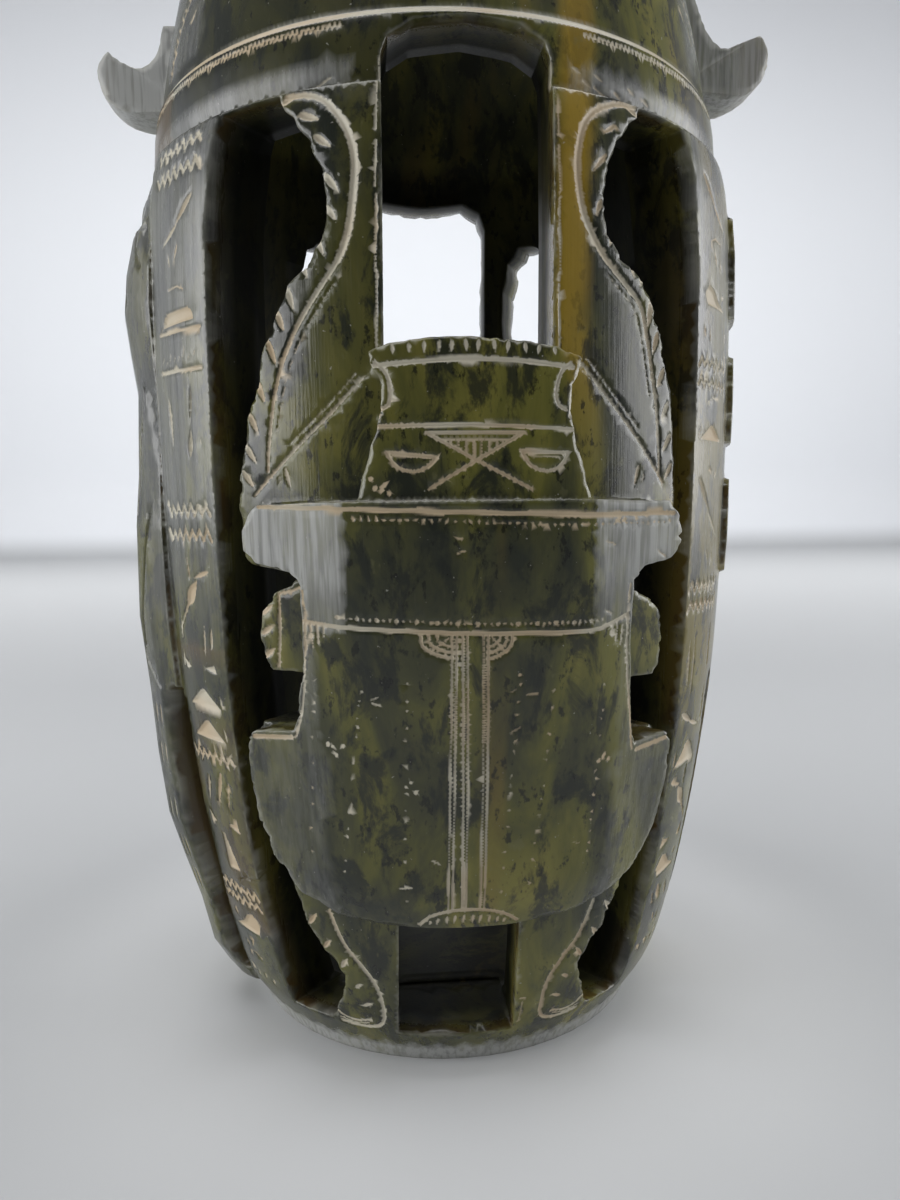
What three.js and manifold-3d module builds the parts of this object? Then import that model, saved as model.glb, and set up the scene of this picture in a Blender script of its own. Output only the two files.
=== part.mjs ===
// Openwork stone vase, turned and then pierced and carved from one block.
// Millimetres, +Z up, origin at the centre of the underside, front (the scarab) towards -Y.
// Azimuths are in degrees from the front (-Y), positive towards +X.
import * as THREE from "three";
import * as BufferGeometryUtils from "three/addons/utils/BufferGeometryUtils.js";
import Module from "manifold-3d";

const wasm = await Module();
wasm.setup();

// ---- driving sizes -------------------------------------------------------
const HEIGHT = 246;            // underside to rim
const BASE_R = 42;             // standing ring of the underside
const BASE_BEVEL = 2.6;        // height of the pale bevel round the foot
const BELLY_R = 62.1;          // widest turned radius
const BELLY_Z = 140;
const COLLAR_LOW = 170;        // lower edge of the collar band
const COLLAR_TOP = 180.4;      // engraved line on the shoulder
const COLLAR_R = 58.7;
const NECK_R = 52.1;           // neck radius at mid height
const NECK_Z = 207;
const MOUTH_R = 43.5;          // inside radius at the rim
const FLOOR = 8;               // thickness of the vase's floor
const WALL = 12.6;             // wall of the body
const RIB_IN = 43.4;           // azimuth of the inscribed ribs' front edge
const RIB_OUT = 61;            // azimuth of the ribs' rear edge
const SLOT_HALF = 13.3;        // half width of the front slot
const SLOT_LOW_HALF = 10.6;    // half width of the front slot near the foot
const SLOT_SILL = 7.6;         // sill of the lower front slot
const SLOT_ARCH = 179.7;       // crown of the front slot
const BACK_HALF = 16.7;        // half width of the rear slot
const BACK_ARCH = 186.2;       // crown of the rear slot
const SCARAB_TOP = 129.9;
const NECKLINE = 105.4;        // step between head and thorax
const SCARAB_LOW = 33.5;
const SCARAB_RELIEF = 5;       // scarab above the turned surface
const HEAD_RELIEF = 3.7;
const FACET = 18.6;            // azimuth of the scarab's facet edges
const FACET_DIR = 26;          // direction the flat side facets look
const SIDE_IN = 66;            // side relief panel, front edge
const SIDE_OUT = 86;           // side relief panel, rear edge
const SIDE_GAP_OUT = 118;      // rear edge of the side windows
const LUG_LEFT = 69.9;         // lug tips from the axis
const LUG_RIGHT = 73.4;
const LUG_LEFT_Z = 186.6;      // undersides of the lugs at the neck
const LUG_RIGHT_Z = 193.2;
const LUG_HALF = 6.8;          // half thickness of a lug at its root
const LEAN = 0.0085;           // the carved front leans, degrees of azimuth per mm of height
const LEAN_Z = 96;
const NOTCH_LOW = 158;         // recess under the collar, above the draped form
const NOTCH_DEPTH = 4.6;
const BLOCK_RELIEF = 1.2;      // side blocks above the turned surface
const SEG = 56;

const DEG = Math.PI / 180;
const clamp = (v, lo, hi) => Math.min(hi, Math.max(lo, v));

function mono(table, x) {
  if (x <= table[0][0]) return table[0][1];
  for (let i = 1; i < table.length; i++) {
    if (x <= table[i][0]) {
      const [x0, y0] = table[i - 1], [x1, y1] = table[i];
      return y0 + (y1 - y0) * (x - x0) / (x1 - x0);
    }
  }
  return table[table.length - 1][1];
}

// turned outside: [height, radius]
const OUTSIDE = [
  [0, BASE_R], [BASE_BEVEL, BASE_R + 1.2], [5.5, 45.1], [9.5, 47.6], [14, 49.4], [20, 51.1],
  [27, 52.8], [35, 54.4], [46, 56.4], [60, 58.4], [77, 60.2], [95, 61.2],
  [116, 61.8], [BELLY_Z, BELLY_R], [156, 61.8], [165, 61.1],
  [COLLAR_LOW - 0.8, 60.2], [COLLAR_LOW, 58.3], [COLLAR_LOW + 2, COLLAR_R], [COLLAR_TOP - 3.4, COLLAR_R - 0.3],
  [COLLAR_TOP, COLLAR_R - 0.8], [COLLAR_TOP + 0.7, 57.1], [194, 54.9], [NECK_Z, NECK_R], [218, 50.4],
  [229, 49.2], [236, 49.1], [239.5, 50.9], [243.6, 51.5], [HEIGHT, 50.5],
];
const outer = (z) => mono(OUTSIDE, z);

// hollow inside: [height, radius]
const INSIDE = [
  [FLOOR, 33], [FLOOR + 2.6, 36.4], [20, 39.6], [34, 42.4], [55, 45.6], [80, 48], [110, BELLY_R - WALL - 0.3],
  [150, 49.5], [168, 48.2], [184, 46], [NECK_Z, 42.8], [225, 41.2], [237, 41.2], [HEIGHT, MOUTH_R],
];

// ---- solids --------------------------------------------------------------
function closed(geometry) {
  let g = geometry.index ? geometry : BufferGeometryUtils.mergeVertices(geometry);
  g = g.clone();
  g.deleteAttribute("normal");
  g.deleteAttribute("uv");
  g = BufferGeometryUtils.mergeVertices(g, 1e-4);
  const position = g.attributes.position;
  const flat = new Float32Array(position.count * 3);
  for (let i = 0; i < position.count; i++) {
    flat[3 * i] = position.getX(i); flat[3 * i + 1] = position.getY(i); flat[3 * i + 2] = position.getZ(i);
  }
  const faces = [];
  const index = g.index.array;
  for (let i = 0; i < index.length; i += 3) {
    const [a, b, c] = [index[i], index[i + 1], index[i + 2]];
    if (a !== b && b !== c && c !== a) faces.push(a, b, c);
  }
  return body(flat, faces);
}

function body(flat, faces) {
  let volume = 0;
  for (let i = 0; i < faces.length; i += 3) {
    const p = faces.slice(i, i + 3).map((k) => new THREE.Vector3(flat[3 * k], flat[3 * k + 1], flat[3 * k + 2]));
    volume += p[0].dot(p[1].cross(p[2])) / 6;
  }
  const tri = new Uint32Array(faces);
  if (volume < 0) for (let i = 0; i < tri.length; i += 3) { const t = tri[i]; tri[i] = tri[i + 1]; tri[i + 1] = t; }
  return new wasm.Manifold(new wasm.Mesh({ numProp: 3, vertProperties: Float32Array.from(flat), triVerts: tri }));
}

// body of revolution from [height, radius] rows, closed on the axis
function turned(rows, segments = SEG) {
  const points = [new THREE.Vector2(0, rows[0][0])];
  for (const [z, r] of rows) points.push(new THREE.Vector2(r, z));
  points.push(new THREE.Vector2(0, rows[rows.length - 1][0]));
  const g = new THREE.LatheGeometry(points, segments);
  g.rotateX(Math.PI / 2);
  return closed(g);
}

// opening cut radially through the wall; outline is [azimuth, height] pairs
function pierce(outline, r0 = 28, r1 = 84) {
  const contour = outline.map(([a, z]) => new THREE.Vector2(a, z));
  const caps = THREE.ShapeUtils.triangulateShape(contour, []);
  const flat = [];
  for (const r of [r0, r1]) for (const [a, z] of outline) flat.push(r * Math.sin(a * DEG), -r * Math.cos(a * DEG), z);
  const n = outline.length, faces = [];
  const turn = THREE.ShapeUtils.area(contour) > 0 ? 1 : -1;
  for (const [a, b, c] of caps) {
    faces.push(...(turn > 0 ? [a, c, b] : [a, c, b]));
    faces.push(...(turn > 0 ? [n + a, n + b, n + c] : [n + a, n + b, n + c]));
  }
  for (let i = 0; i < n; i++) {
    const j = (i + 1) % n;
    if (turn > 0) faces.push(i, j, n + j, i, n + j, n + i);
    else faces.push(i, n + j, j, i, n + i, n + j);
  }
  return body(flat, faces);
}

// straight cut along Y; outline is [x, z] pairs
function cutAlongY(outline, y0, y1) {
  const shape = new THREE.Shape(outline.map(([x, z]) => new THREE.Vector2(x, z)));
  const g = new THREE.ExtrudeGeometry(shape, { depth: Math.abs(y1 - y0), bevelEnabled: false });
  g.rotateX(Math.PI / 2);
  g.translate(0, Math.max(y0, y1), 0);
  return closed(g);
}

// raised patch: a closed grid between two radius functions
function patch(azimuths, heights, low, high) {
  const flat = [], faces = [], na = azimuths.length, nz = heights.length;
  for (const f of [low, high]) for (const z of heights) for (const a of azimuths) {
    const r = f(a, z);
    flat.push(r * Math.sin(a * DEG), -r * Math.cos(a * DEG), z);
  }
  const id = (k, j, i) => k * na * nz + j * na + i;
  for (let j = 0; j + 1 < nz; j++) for (let i = 0; i + 1 < na; i++) {
    faces.push(id(1, j, i), id(1, j, i + 1), id(1, j + 1, i + 1), id(1, j, i), id(1, j + 1, i + 1), id(1, j + 1, i));
    faces.push(id(0, j, i), id(0, j + 1, i + 1), id(0, j, i + 1), id(0, j, i), id(0, j + 1, i), id(0, j + 1, i + 1));
  }
  for (let i = 0; i + 1 < na; i++) {
    faces.push(id(0, 0, i), id(0, 0, i + 1), id(1, 0, i + 1), id(0, 0, i), id(1, 0, i + 1), id(1, 0, i));
    faces.push(id(0, nz - 1, i), id(1, nz - 1, i + 1), id(0, nz - 1, i + 1), id(0, nz - 1, i), id(1, nz - 1, i), id(1, nz - 1, i + 1));
  }
  for (let j = 0; j + 1 < nz; j++) {
    faces.push(id(0, j, 0), id(1, j + 1, 0), id(0, j + 1, 0), id(0, j, 0), id(1, j, 0), id(1, j + 1, 0));
    faces.push(id(0, j, na - 1), id(0, j + 1, na - 1), id(1, j + 1, na - 1), id(0, j, na - 1), id(1, j + 1, na - 1), id(1, j, na - 1));
  }
  return body(flat, faces);
}

const mirror = (outline) => outline.map(([a, z]) => [-a, z]).reverse();
const rear = (outline) => outline.map(([a, z]) => [180 - a, z]).reverse();
const steps = (a, b, n) => Array.from({ length: n + 1 }, (_, i) => a + (b - a) * i / n);
const leaned = (outline) => outline.map(([a, z]) => [a + LEAN * (z - LEAN_Z), z]);
const leanedX = (outline) => outline.map(([x, z]) => [x + LEAN * DEG * BELLY_R * (z - LEAN_Z), z]);
// smooth curve through a few [azimuth, height] stations
function flow(stations, n) {
  const curve = new THREE.SplineCurve(stations.map(([a, z]) => new THREE.Vector2(a, z)));
  return curve.getPoints(n).map((p) => [p.x, p.y]);
}
// rounded window between two azimuths and two heights
function rounded(a0, a1, z0, z1, da, dz, n = 4) {
  const out = [];
  const corner = (ca, cz, from) => {
    for (let i = 0; i <= n; i++) {
      const t = (from + 90 * i / n) * DEG;
      out.push([ca + da * Math.cos(t), cz + dz * Math.sin(t)]);
    }
  };
  corner(a1 - da, z0 + dz, -90);
  corner(a1 - da, z1 - dz, 0);
  corner(a0 + da, z1 - dz, 90);
  corner(a0 + da, z0 + dz, 180);
  return out;
}

// ---- outlines of the piercing --------------------------------------------
// gap between the ribs and the serpent panels, with the scarab's waist and leg
const ribEdge = [[42.6, 9], [RIB_IN + 0.4, 30], [RIB_IN + 0.2, 60], [RIB_IN, 100], [RIB_IN, 148], [42.2, 162], [40.6, 168.8]];
const serpentHead = [[28.9, 169], [28.2, 167.2], [26, 165], [23.4, 161], [21.4, 156.6], [20.7, 152], [21.3, 147.4]];
const serpentLeft = [[23.2, 143.6], [27.2, 139.6], [29.7, 135], [32.1, 129.7], [35.6, 118.8], [37.5, 110], [37.9, 104], [37.6, 97.8], [36, 95.4], [31, 94.6], [26.6, 94.1]];
const serpentRight = [[23.8, 143.9], [28.8, 140.6], [31.4, 135.6], [33.6, 129.7], [36.6, 118.8], [37.4, 110], [37.8, 104], [37.6, 97.8], [36, 95.6], [31, 94.4], [26.4, 93.7]];
// legs: the left one sits higher and closer in than the right one
const legLeft = [[25.4, 93.2], [27.4, 92.9], [31.6, 90.6], [34.2, 87.4], [34.8, 83.4], [34.1, 79], [32.8, 77.4], [25.8, 77.4]];
const legRight = [[24.7, 92.3], [26.8, 90.4], [30, 89.4], [33, 87.8], [35.8, 84.6], [36.4, 80.7], [35.7, 76.3], [34.4, 74.8], [25.8, 74.8]];
const hipLeft = [[25.4, 75.4], [25.9, 71], [26.6, 68.5], [35.8, 68.1], [37.4, 66.2], [37.9, 60], [37.6, 53], [36, 45], [33.8, 38]];
const hipRight = [[25.4, 73], [25.9, 67.6], [26.6, 64.2], [35.2, 65.4], [36.9, 63.8], [37.5, 60], [37.3, 53], [35.9, 45], [33.8, 38.2]];
const tail = [[32.8, 33.5], [30.2, 27], [26.6, 22.6], [24.9, 20.2], [26.2, 16.4], [28.4, 13], [29.6, 10.4], [31.4, 9]];
const gapLeft = [...ribEdge, ...serpentHead, ...serpentLeft, ...legLeft, ...hipLeft, ...tail];
const gapRight = [...ribEdge, ...serpentHead, ...serpentRight, ...legRight, ...hipRight, ...tail];

// front slot above and below the scarab
const upperSlot = [
  [-SLOT_HALF, 127.6], [0, SCARAB_TOP - 0.6], [SLOT_HALF, 127.6], [SLOT_HALF, 174],
  [SLOT_HALF - 1, 176.6], [SLOT_HALF - 4.6, 178.7], [0, SLOT_ARCH], [-SLOT_HALF + 4.6, 178.7], [-SLOT_HALF + 1, 176.6], [-SLOT_HALF, 174],
];
const lowerSlot = [[-SLOT_LOW_HALF - 1, SLOT_SILL], [SLOT_LOW_HALF - 1, SLOT_SILL], [SLOT_LOW_HALF - 1, SCARAB_LOW + 3], [-SLOT_LOW_HALF - 1, SCARAB_LOW + 3]];

// rear slot above and below a plain plate, and the rear gaps
const rearUpper = [
  [-BACK_HALF, 124], [BACK_HALF, 124], [BACK_HALF, 180], [BACK_HALF - 1.6, 184.4], [BACK_HALF - 6, 187], [0, BACK_ARCH],
  [-BACK_HALF + 6, 187], [-BACK_HALF + 1.6, 184.4], [-BACK_HALF, 180],
];
const rearLower = [[-12, 12], [12, 12], [12, 40], [-12, 40]];
const rearGap = [
  [42.8, 14], [RIB_IN, 60], [RIB_IN, 150], [42.6, 165], [40, 172], [36, 174.6], [31, 174.8], [27.6, 171],
  [25.7, 164], [25.2, 156], [26, 148], [28.8, 140], [32.4, 128], [34.6, 110], [35.2, 88], [34.4, 62], [31.6, 42],
  [28.2, 28], [27.6, 18], [30, 14],
];

// side openings: a narrow one beside each rib, windows behind the relief panel
const sideSlit = rounded(RIB_OUT, SIDE_IN, 10, 71, 2.2, 5, 3);
const sideWindows = [
  rounded(SIDE_OUT, SIDE_GAP_OUT, 15, 44, 6, 7, 3), rounded(SIDE_OUT, SIDE_GAP_OUT, 52, 112, 6, 7, 3), rounded(SIDE_OUT, SIDE_GAP_OUT, 120, 160, 6, 7, 3),
];

// ---- scarab --------------------------------------------------------------
// the head is wider on the right; the wings' shoulders and lower corners differ a little
const scarabLeft = [
  [0, SCARAB_TOP], [7, 129.7], [11.8, 128.9], [14, 127.9], [13.6, 125.6], [12.2, 123], [12.3, 119], [12.9, 116],
  [14.6, 110.4], [15.8, NECKLINE], [30.6, NECKLINE - 0.3], [32.6, 103], [33.5, 100.4], [33.2, 97.8], [31.6, 95.9], [26.2, 94.4],
  [24.4, 92.2], [24.2, 85], [24.6, 78], [25.8, 71], [26.8, 68.4], [33.5, 67.8], [34.8, 66], [35.2, 58], [34.5, 51],
  [32.6, 44.6], [28.8, 38.4], [22.5, 34.8], [14, 33.9], [6.5, SCARAB_LOW],
];
const scarabRight = [
  [0, SCARAB_TOP], [7, 129.5], [11.8, 128.6], [15.3, 127.4], [15, 125.3], [13.9, 123], [13.7, 119], [14.3, 116],
  [16.1, 110.4], [17.3, NECKLINE], [30.8, NECKLINE - 0.3], [32.8, 103], [33.7, 100.4], [33.6, 97.8], [32.2, 95.9], [26.6, 94.4],
  [24.7, 92.2], [24.5, 85], [24.9, 78], [25.8, 68], [26.9, 64.2], [33.4, 65.3], [34.5, 63.6], [34.8, 58], [34.1, 51],
  [32.1, 44.6], [28.7, 39], [22.5, 35.4], [14, 34.1], [6.5, SCARAB_LOW],
];
const scarabOutline = [...scarabLeft.map(([a, z]) => [-a, z]), [0, SCARAB_LOW], ...scarabRight.slice(1).reverse()];

function facet(a, r) {
  const t = Math.abs(a);
  return t <= FACET ? r : r * Math.cos((FACET - FACET_DIR) * DEG) / Math.cos((t - FACET_DIR) * DEG);
}
const headFront = (a, z) => facet(a, outer(z) + HEAD_RELIEF);
const bodyFront = (a, z) => facet(a, outer(z) + SCARAB_RELIEF - 1.6 * clamp((44 - z) / 10, 0, 1) ** 2);
const sunk = (a, z) => outer(z) - 6.5;
const scarabAz = [-38, -FACET, -12.4, -6.2, 0, 6.2, 12.4, FACET, 38];
const head = patch(scarabAz, [NECKLINE - 4, 112, 120, SCARAB_TOP + 3], sunk, headFront);
const thoraxAndWings = patch(scarabAz, [SCARAB_LOW - 2, 38, 42, 46, 55, 67, 80, 95, NECKLINE], sunk, bodyFront);
const scarab = head.add(thoraxAndWings).intersect(pierce(leaned(scarabOutline), 46, 84));

// ---- side reliefs --------------------------------------------------------
// left: long draped form, height of relief by height above the foot
const DRAPE = [[7, 3.2], [14, 4], [24, 3.6], [32, 4.4], [43, 5.6], [56, 5.2], [69, 4.6], [80, 4.9], [90, 4.8], [102, 3.8],
  [110, 2.8], [119, 1.9], [128, 1.7], [136, 2.7], [143, 3.5], [149, 3.2], [157, 1.6], [163, 0.5], [167, -1.2]];
const drapeProfile = (a, z) => {
  const t = (Math.abs(a) - 62.4) / (SIDE_OUT - 62.4);
  return outer(Math.min(z, 165)) + mono(DRAPE, z) * Math.sin(Math.PI * clamp(0.12 + 0.76 * t, 0, 1)) - 1.2 * (1 - Math.sin(Math.PI * clamp(0.15 + 0.7 * t, 0, 1)));
};
const sideHeights = [7, 14, 24, 34, 43, 56, 69, 84, 102, 112, 128, 136, 143, 150, 157, 163, 167];
const drape = patch([-62.4, -67.2, -72, -77, -82, -SIDE_OUT], sideHeights, (a, z) => outer(Math.min(z, 165)) - 5, drapeProfile);

const NOTCH = [[NOTCH_LOW, 62.1], [163, 60.7], [166.9, 59.4], [167.1, 60.6 - NOTCH_DEPTH], [COLLAR_LOW - 0.3, 60.2 - NOTCH_DEPTH]];
const notch = patch([-62.6, -68, -74, -80, -SIDE_OUT - 0.2], NOTCH.map(([z]) => z), (a, z) => mono(NOTCH, z) + 0.6 * Math.abs((Math.abs(a) - 74) / 12), () => 76);

// right: three rounded blocks one above the other
const BLOCKS = [[91, 110], [117, 134], [141.5, 161]];
const blocks = BLOCKS.map(([z0, z1]) => {
  const high = (a, z) => outer(z) + BLOCK_RELIEF - 0.5 * Math.abs((z - (z0 + z1) / 2) / (z1 - z0));
  return patch([64, 68, 73, 78, 82], steps(z0, z1, 3), (a, z) => outer(z) - 5, high)
    .intersect(pierce(rounded(63.6, 82.4, z0, z1, 2.6, 3, 3), 46, 84));
});

// rear plate: plain, slightly domed
const rearOutline = rounded(149, 211, 38, 124, 16, 24, 5);
const rearPlate = patch(steps(146, 214, 8), [36, 52, 68, 81, 94, 110, 126], sunk,
  (a, z) => outer(z) + 0.8 + 2.6 * Math.cos((a - 180) / 36 * Math.PI / 2) * Math.sin(Math.PI * clamp((z - 30) / 102, 0, 1)))
  .intersect(pierce(rearOutline, 44, 84));

// ---- lugs ----------------------------------------------------------------
// profiles: distance from the axis relative to the tip, height above the underside
const LUG_LEFT_LOW = [[-20, 0], [-11.2, 0], [-7.9, 0.1], [-4.9, 0.8], [-2.1, 2.6], [-0.5, 5], [0, 7.8], [-0.6, 10.4], [-2.5, 12.3]];
const LUG_LEFT_TOP = [[-2.5, 12.3], [-4.3, 10.7], [-6.6, 9.3], [-8.7, 8.7], [-10.9, 9.4], [-12.7, 11.7], [-14.2, 16.5]];
const LUG_RIGHT_LOW = [[-23, 0.2], [-14.7, 0.3], [-11.4, -0.2], [-8, 0], [-4.6, 1.4], [-1.6, 3.8], [-0.1, 7.2], [0, 10.2], [-2, 13.6]];
const LUG_RIGHT_TOP = [[-2, 13.6], [-4, 12.5], [-6.4, 11.5], [-9.4, 10], [-11.8, 9.8], [-14.2, 11.8], [-16.4, 15.4], [-18.2, 20]];
function lug(side, low, top, tip, z0) {
  const line = [...flow(low, 14), ...flow(top, 9).slice(1), [low[0][0], top[top.length - 1][1]]];
  const outline = line.map(([x, z]) => new THREE.Vector2(tip + x, z0 + z));
  const g = new THREE.ExtrudeGeometry(new THREE.Shape(outline), { depth: 2 * LUG_HALF, bevelEnabled: false });
  g.translate(0, 0, -LUG_HALF);
  g.rotateX(Math.PI / 2);
  const p = g.attributes.position;
  for (let i = 0; i < p.count; i++) {
    const thin = 1 - 0.42 * clamp((p.getX(i) - tip + 17) / 17, 0, 1);
    p.setY(i, p.getY(i) * thin);
  }
  if (side < 0) g.rotateZ(Math.PI);
  return closed(g);
}

// ---- assembly of the one solid -------------------------------------------
let vase = turned(OUTSIDE);
vase = vase.add(drape).subtract(notch);
for (const b of blocks) vase = vase.add(b);
vase = vase.add(lug(1, LUG_RIGHT_LOW, LUG_RIGHT_TOP, LUG_RIGHT, LUG_RIGHT_Z)).add(lug(-1, LUG_LEFT_LOW, LUG_LEFT_TOP, LUG_LEFT, LUG_LEFT_Z));

const hollow = turned([...INSIDE, [HEIGHT + 2, MOUTH_R + 0.3]], 44);
vase = vase.subtract(hollow);

vase = vase.subtract(cutAlongY(leanedX(upperSlot), -80, -30)).subtract(cutAlongY(leanedX(lowerSlot), -80, -28));
vase = vase.subtract(cutAlongY(rearUpper, 30, 80)).subtract(cutAlongY(rearLower, 28, 80));
for (const outline of [leaned(gapRight), leaned(mirror(gapLeft)), rear(rearGap), mirror(rear(rearGap)), sideSlit, mirror(sideSlit)]) {
  vase = vase.subtract(pierce(outline));
}
for (const w of sideWindows) vase = vase.subtract(pierce(w)).subtract(pierce(mirror(w)));
vase = vase.add(scarab.subtract(hollow)).add(rearPlate.subtract(hollow));

// ---- mesh ----------------------------------------------------------------
function toMesh(solid, name, color) {
  const m = solid.getMesh();
  const g = new THREE.BufferGeometry();
  const n = m.vertProperties.length / m.numProp;
  const flat = new Float32Array(n * 3);
  for (let i = 0; i < n; i++) for (let k = 0; k < 3; k++) flat[3 * i + k] = m.vertProperties[i * m.numProp + k];
  g.setAttribute("position", new THREE.BufferAttribute(flat, 3));
  g.setIndex(new THREE.BufferAttribute(new Uint32Array(m.triVerts), 1));
  g.computeVertexNormals();
  const mesh = new THREE.Mesh(g, new THREE.MeshStandardMaterial({ color, roughness: 0.45 }));
  mesh.name = name;
  return mesh;
}

const group = new THREE.Group();
group.add(toMesh(vase, "vase", 0x4f5236));
export default group;
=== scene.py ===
import math

import bpy
import numpy as np
from mathutils import Matrix, Vector
from mathutils.kdtree import KDTree


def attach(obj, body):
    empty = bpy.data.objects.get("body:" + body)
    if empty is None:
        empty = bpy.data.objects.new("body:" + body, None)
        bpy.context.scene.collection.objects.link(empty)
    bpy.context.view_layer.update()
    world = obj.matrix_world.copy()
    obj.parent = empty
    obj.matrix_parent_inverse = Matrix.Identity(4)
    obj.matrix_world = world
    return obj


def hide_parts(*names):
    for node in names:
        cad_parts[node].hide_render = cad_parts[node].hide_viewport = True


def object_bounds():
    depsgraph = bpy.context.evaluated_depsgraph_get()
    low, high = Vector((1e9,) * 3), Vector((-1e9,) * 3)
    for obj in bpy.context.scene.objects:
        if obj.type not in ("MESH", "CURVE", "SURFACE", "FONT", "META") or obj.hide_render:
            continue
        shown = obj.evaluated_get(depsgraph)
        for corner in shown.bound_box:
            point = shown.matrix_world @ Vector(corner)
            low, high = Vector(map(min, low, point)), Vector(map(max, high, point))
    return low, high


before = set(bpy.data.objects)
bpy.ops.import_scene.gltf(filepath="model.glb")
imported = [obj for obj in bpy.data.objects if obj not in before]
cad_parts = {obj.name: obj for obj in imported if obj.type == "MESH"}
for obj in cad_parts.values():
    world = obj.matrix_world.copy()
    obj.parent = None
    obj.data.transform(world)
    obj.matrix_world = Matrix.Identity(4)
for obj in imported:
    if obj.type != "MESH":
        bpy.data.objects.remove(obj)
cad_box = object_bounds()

rng = np.random.RandomState(11)

# ---------------------------------------------------------------- sizes, mm
HEIGHT = 246.0
BASE_R, BASE_BEVEL = 42.0, 2.6
BELLY_R, BELLY_Z = 62.1, 140.0
COLLAR_LOW, COLLAR_TOP, COLLAR_R = 170.0, 180.4, 58.7
NECK_R, NECK_Z = 52.1, 207.0
RIB_IN, RIB_OUT = 43.4, 61.0
SLOT_HALF = 13.3
SCARAB_TOP, NECKLINE, SCARAB_LOW = 129.9, 105.4, 33.5
SCARAB_RELIEF, HEAD_RELIEF = 5.0, 3.7
FACET, FACET_DIR = 18.6, 26.0
SIDE_OUT = 86.0
LUG_LOW, LUG_HIGH = 183.0, 214.5
LEAN, LEAN_Z = 0.0085, 96.0
DEG = math.pi / 180

OUTSIDE = np.array([
    [0, BASE_R], [BASE_BEVEL, BASE_R + 1.2], [5.5, 45.1], [9.5, 47.6], [14, 49.4], [20, 51.1],
    [27, 52.8], [35, 54.4], [46, 56.4], [60, 58.4], [77, 60.2], [95, 61.2],
    [116, 61.8], [BELLY_Z, BELLY_R], [156, 61.8], [165, 61.1],
    [COLLAR_LOW - 0.8, 60.2], [COLLAR_LOW, 58.3], [COLLAR_LOW + 2, COLLAR_R], [COLLAR_TOP - 3.4, COLLAR_R - 0.3],
    [COLLAR_TOP, COLLAR_R - 0.8], [COLLAR_TOP + 0.7, 57.1], [194, 54.9], [NECK_Z, NECK_R], [218, 50.4],
    [229, 49.2], [236, 49.1], [239.5, 50.9], [243.6, 51.5], [HEIGHT, 50.5]], float)


def outer_facet(z):
    return np.interp(z, OUTSIDE[:, 0], OUTSIDE[:, 1])


def pchip(x, y):
    """Monotone cubic through the rows, so the turned profile has no corners."""
    h = np.diff(x)
    s = np.diff(y) / h
    d = np.zeros_like(y)
    for i in range(1, len(x) - 1):
        if s[i - 1] * s[i] > 0:
            w1, w2 = 2 * h[i] + h[i - 1], h[i] + 2 * h[i - 1]
            d[i] = (w1 + w2) / (w1 / s[i - 1] + w2 / s[i])
    d[0], d[-1] = s[0], s[-1]

    def f(q):
        q = np.clip(q, x[0], x[-1])
        i = np.clip(np.searchsorted(x, q) - 1, 0, len(h) - 1)
        t = (q - x[i]) / h[i]
        return (y[i] * (1 + 2 * t) * (1 - t) ** 2 + d[i] * h[i] * t * (1 - t) ** 2
                + y[i + 1] * t * t * (3 - 2 * t) + d[i + 1] * h[i] * t * t * (t - 1))
    return f


_body = pchip(OUTSIDE[1:17, 0], OUTSIDE[1:17, 1])
_neck = pchip(OUTSIDE[21:, 0], OUTSIDE[21:, 1])


def outer(z):
    """Smooth turned radius."""
    z = np.asarray(z, float)
    r = outer_facet(z)
    r = np.where((z > BASE_BEVEL) & (z < COLLAR_LOW - 0.8), _body(z), r)
    return np.where(z > COLLAR_TOP + 0.7, _neck(z), r)


def facet(a, r):
    t = np.abs(a)
    side = np.cos((FACET - FACET_DIR) * DEG) / np.cos((t - FACET_DIR) * DEG)
    return np.where(t <= FACET, r, r * side)


def scarab_front(a, z):
    rel = SCARAB_RELIEF - 1.6 * np.clip((44 - z) / 10, 0, 1) ** 2
    return facet(a, outer(z) + rel)


def head_front(a, z):
    return facet(a, outer(z) + HEAD_RELIEF)


# ---------------------------------------------------------------- smooth noise
def value_noise(p, cell, seed=0):
    """Smooth value noise in -1..1 at points p (n, 3), with one random value a lattice point."""
    q = p / cell
    i = np.floor(q).astype(np.int64)
    f = q - i
    f = f * f * (3 - 2 * f)
    out = np.zeros(len(p))
    for dx in (0, 1):
        for dy in (0, 1):
            for dz in (0, 1):
                k = (i[:, 0] + dx) * 73856093 ^ (i[:, 1] + dy) * 19349663 ^ (i[:, 2] + dz) * 83492791 ^ (seed * 2654435761)
                k = (k ^ (k >> 13)) * 1274126177 & 0x7FFFFFFF
                k = (k ^ (k >> 11)) * 668265263 & 0x7FFFFFFF
                v = (k & 0xFFFFF) / 524287.5 - 1
                w = (f[:, 0] if dx else 1 - f[:, 0]) * (f[:, 1] if dy else 1 - f[:, 1]) * (f[:, 2] if dz else 1 - f[:, 2])
                out += v * w
    return out


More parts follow.
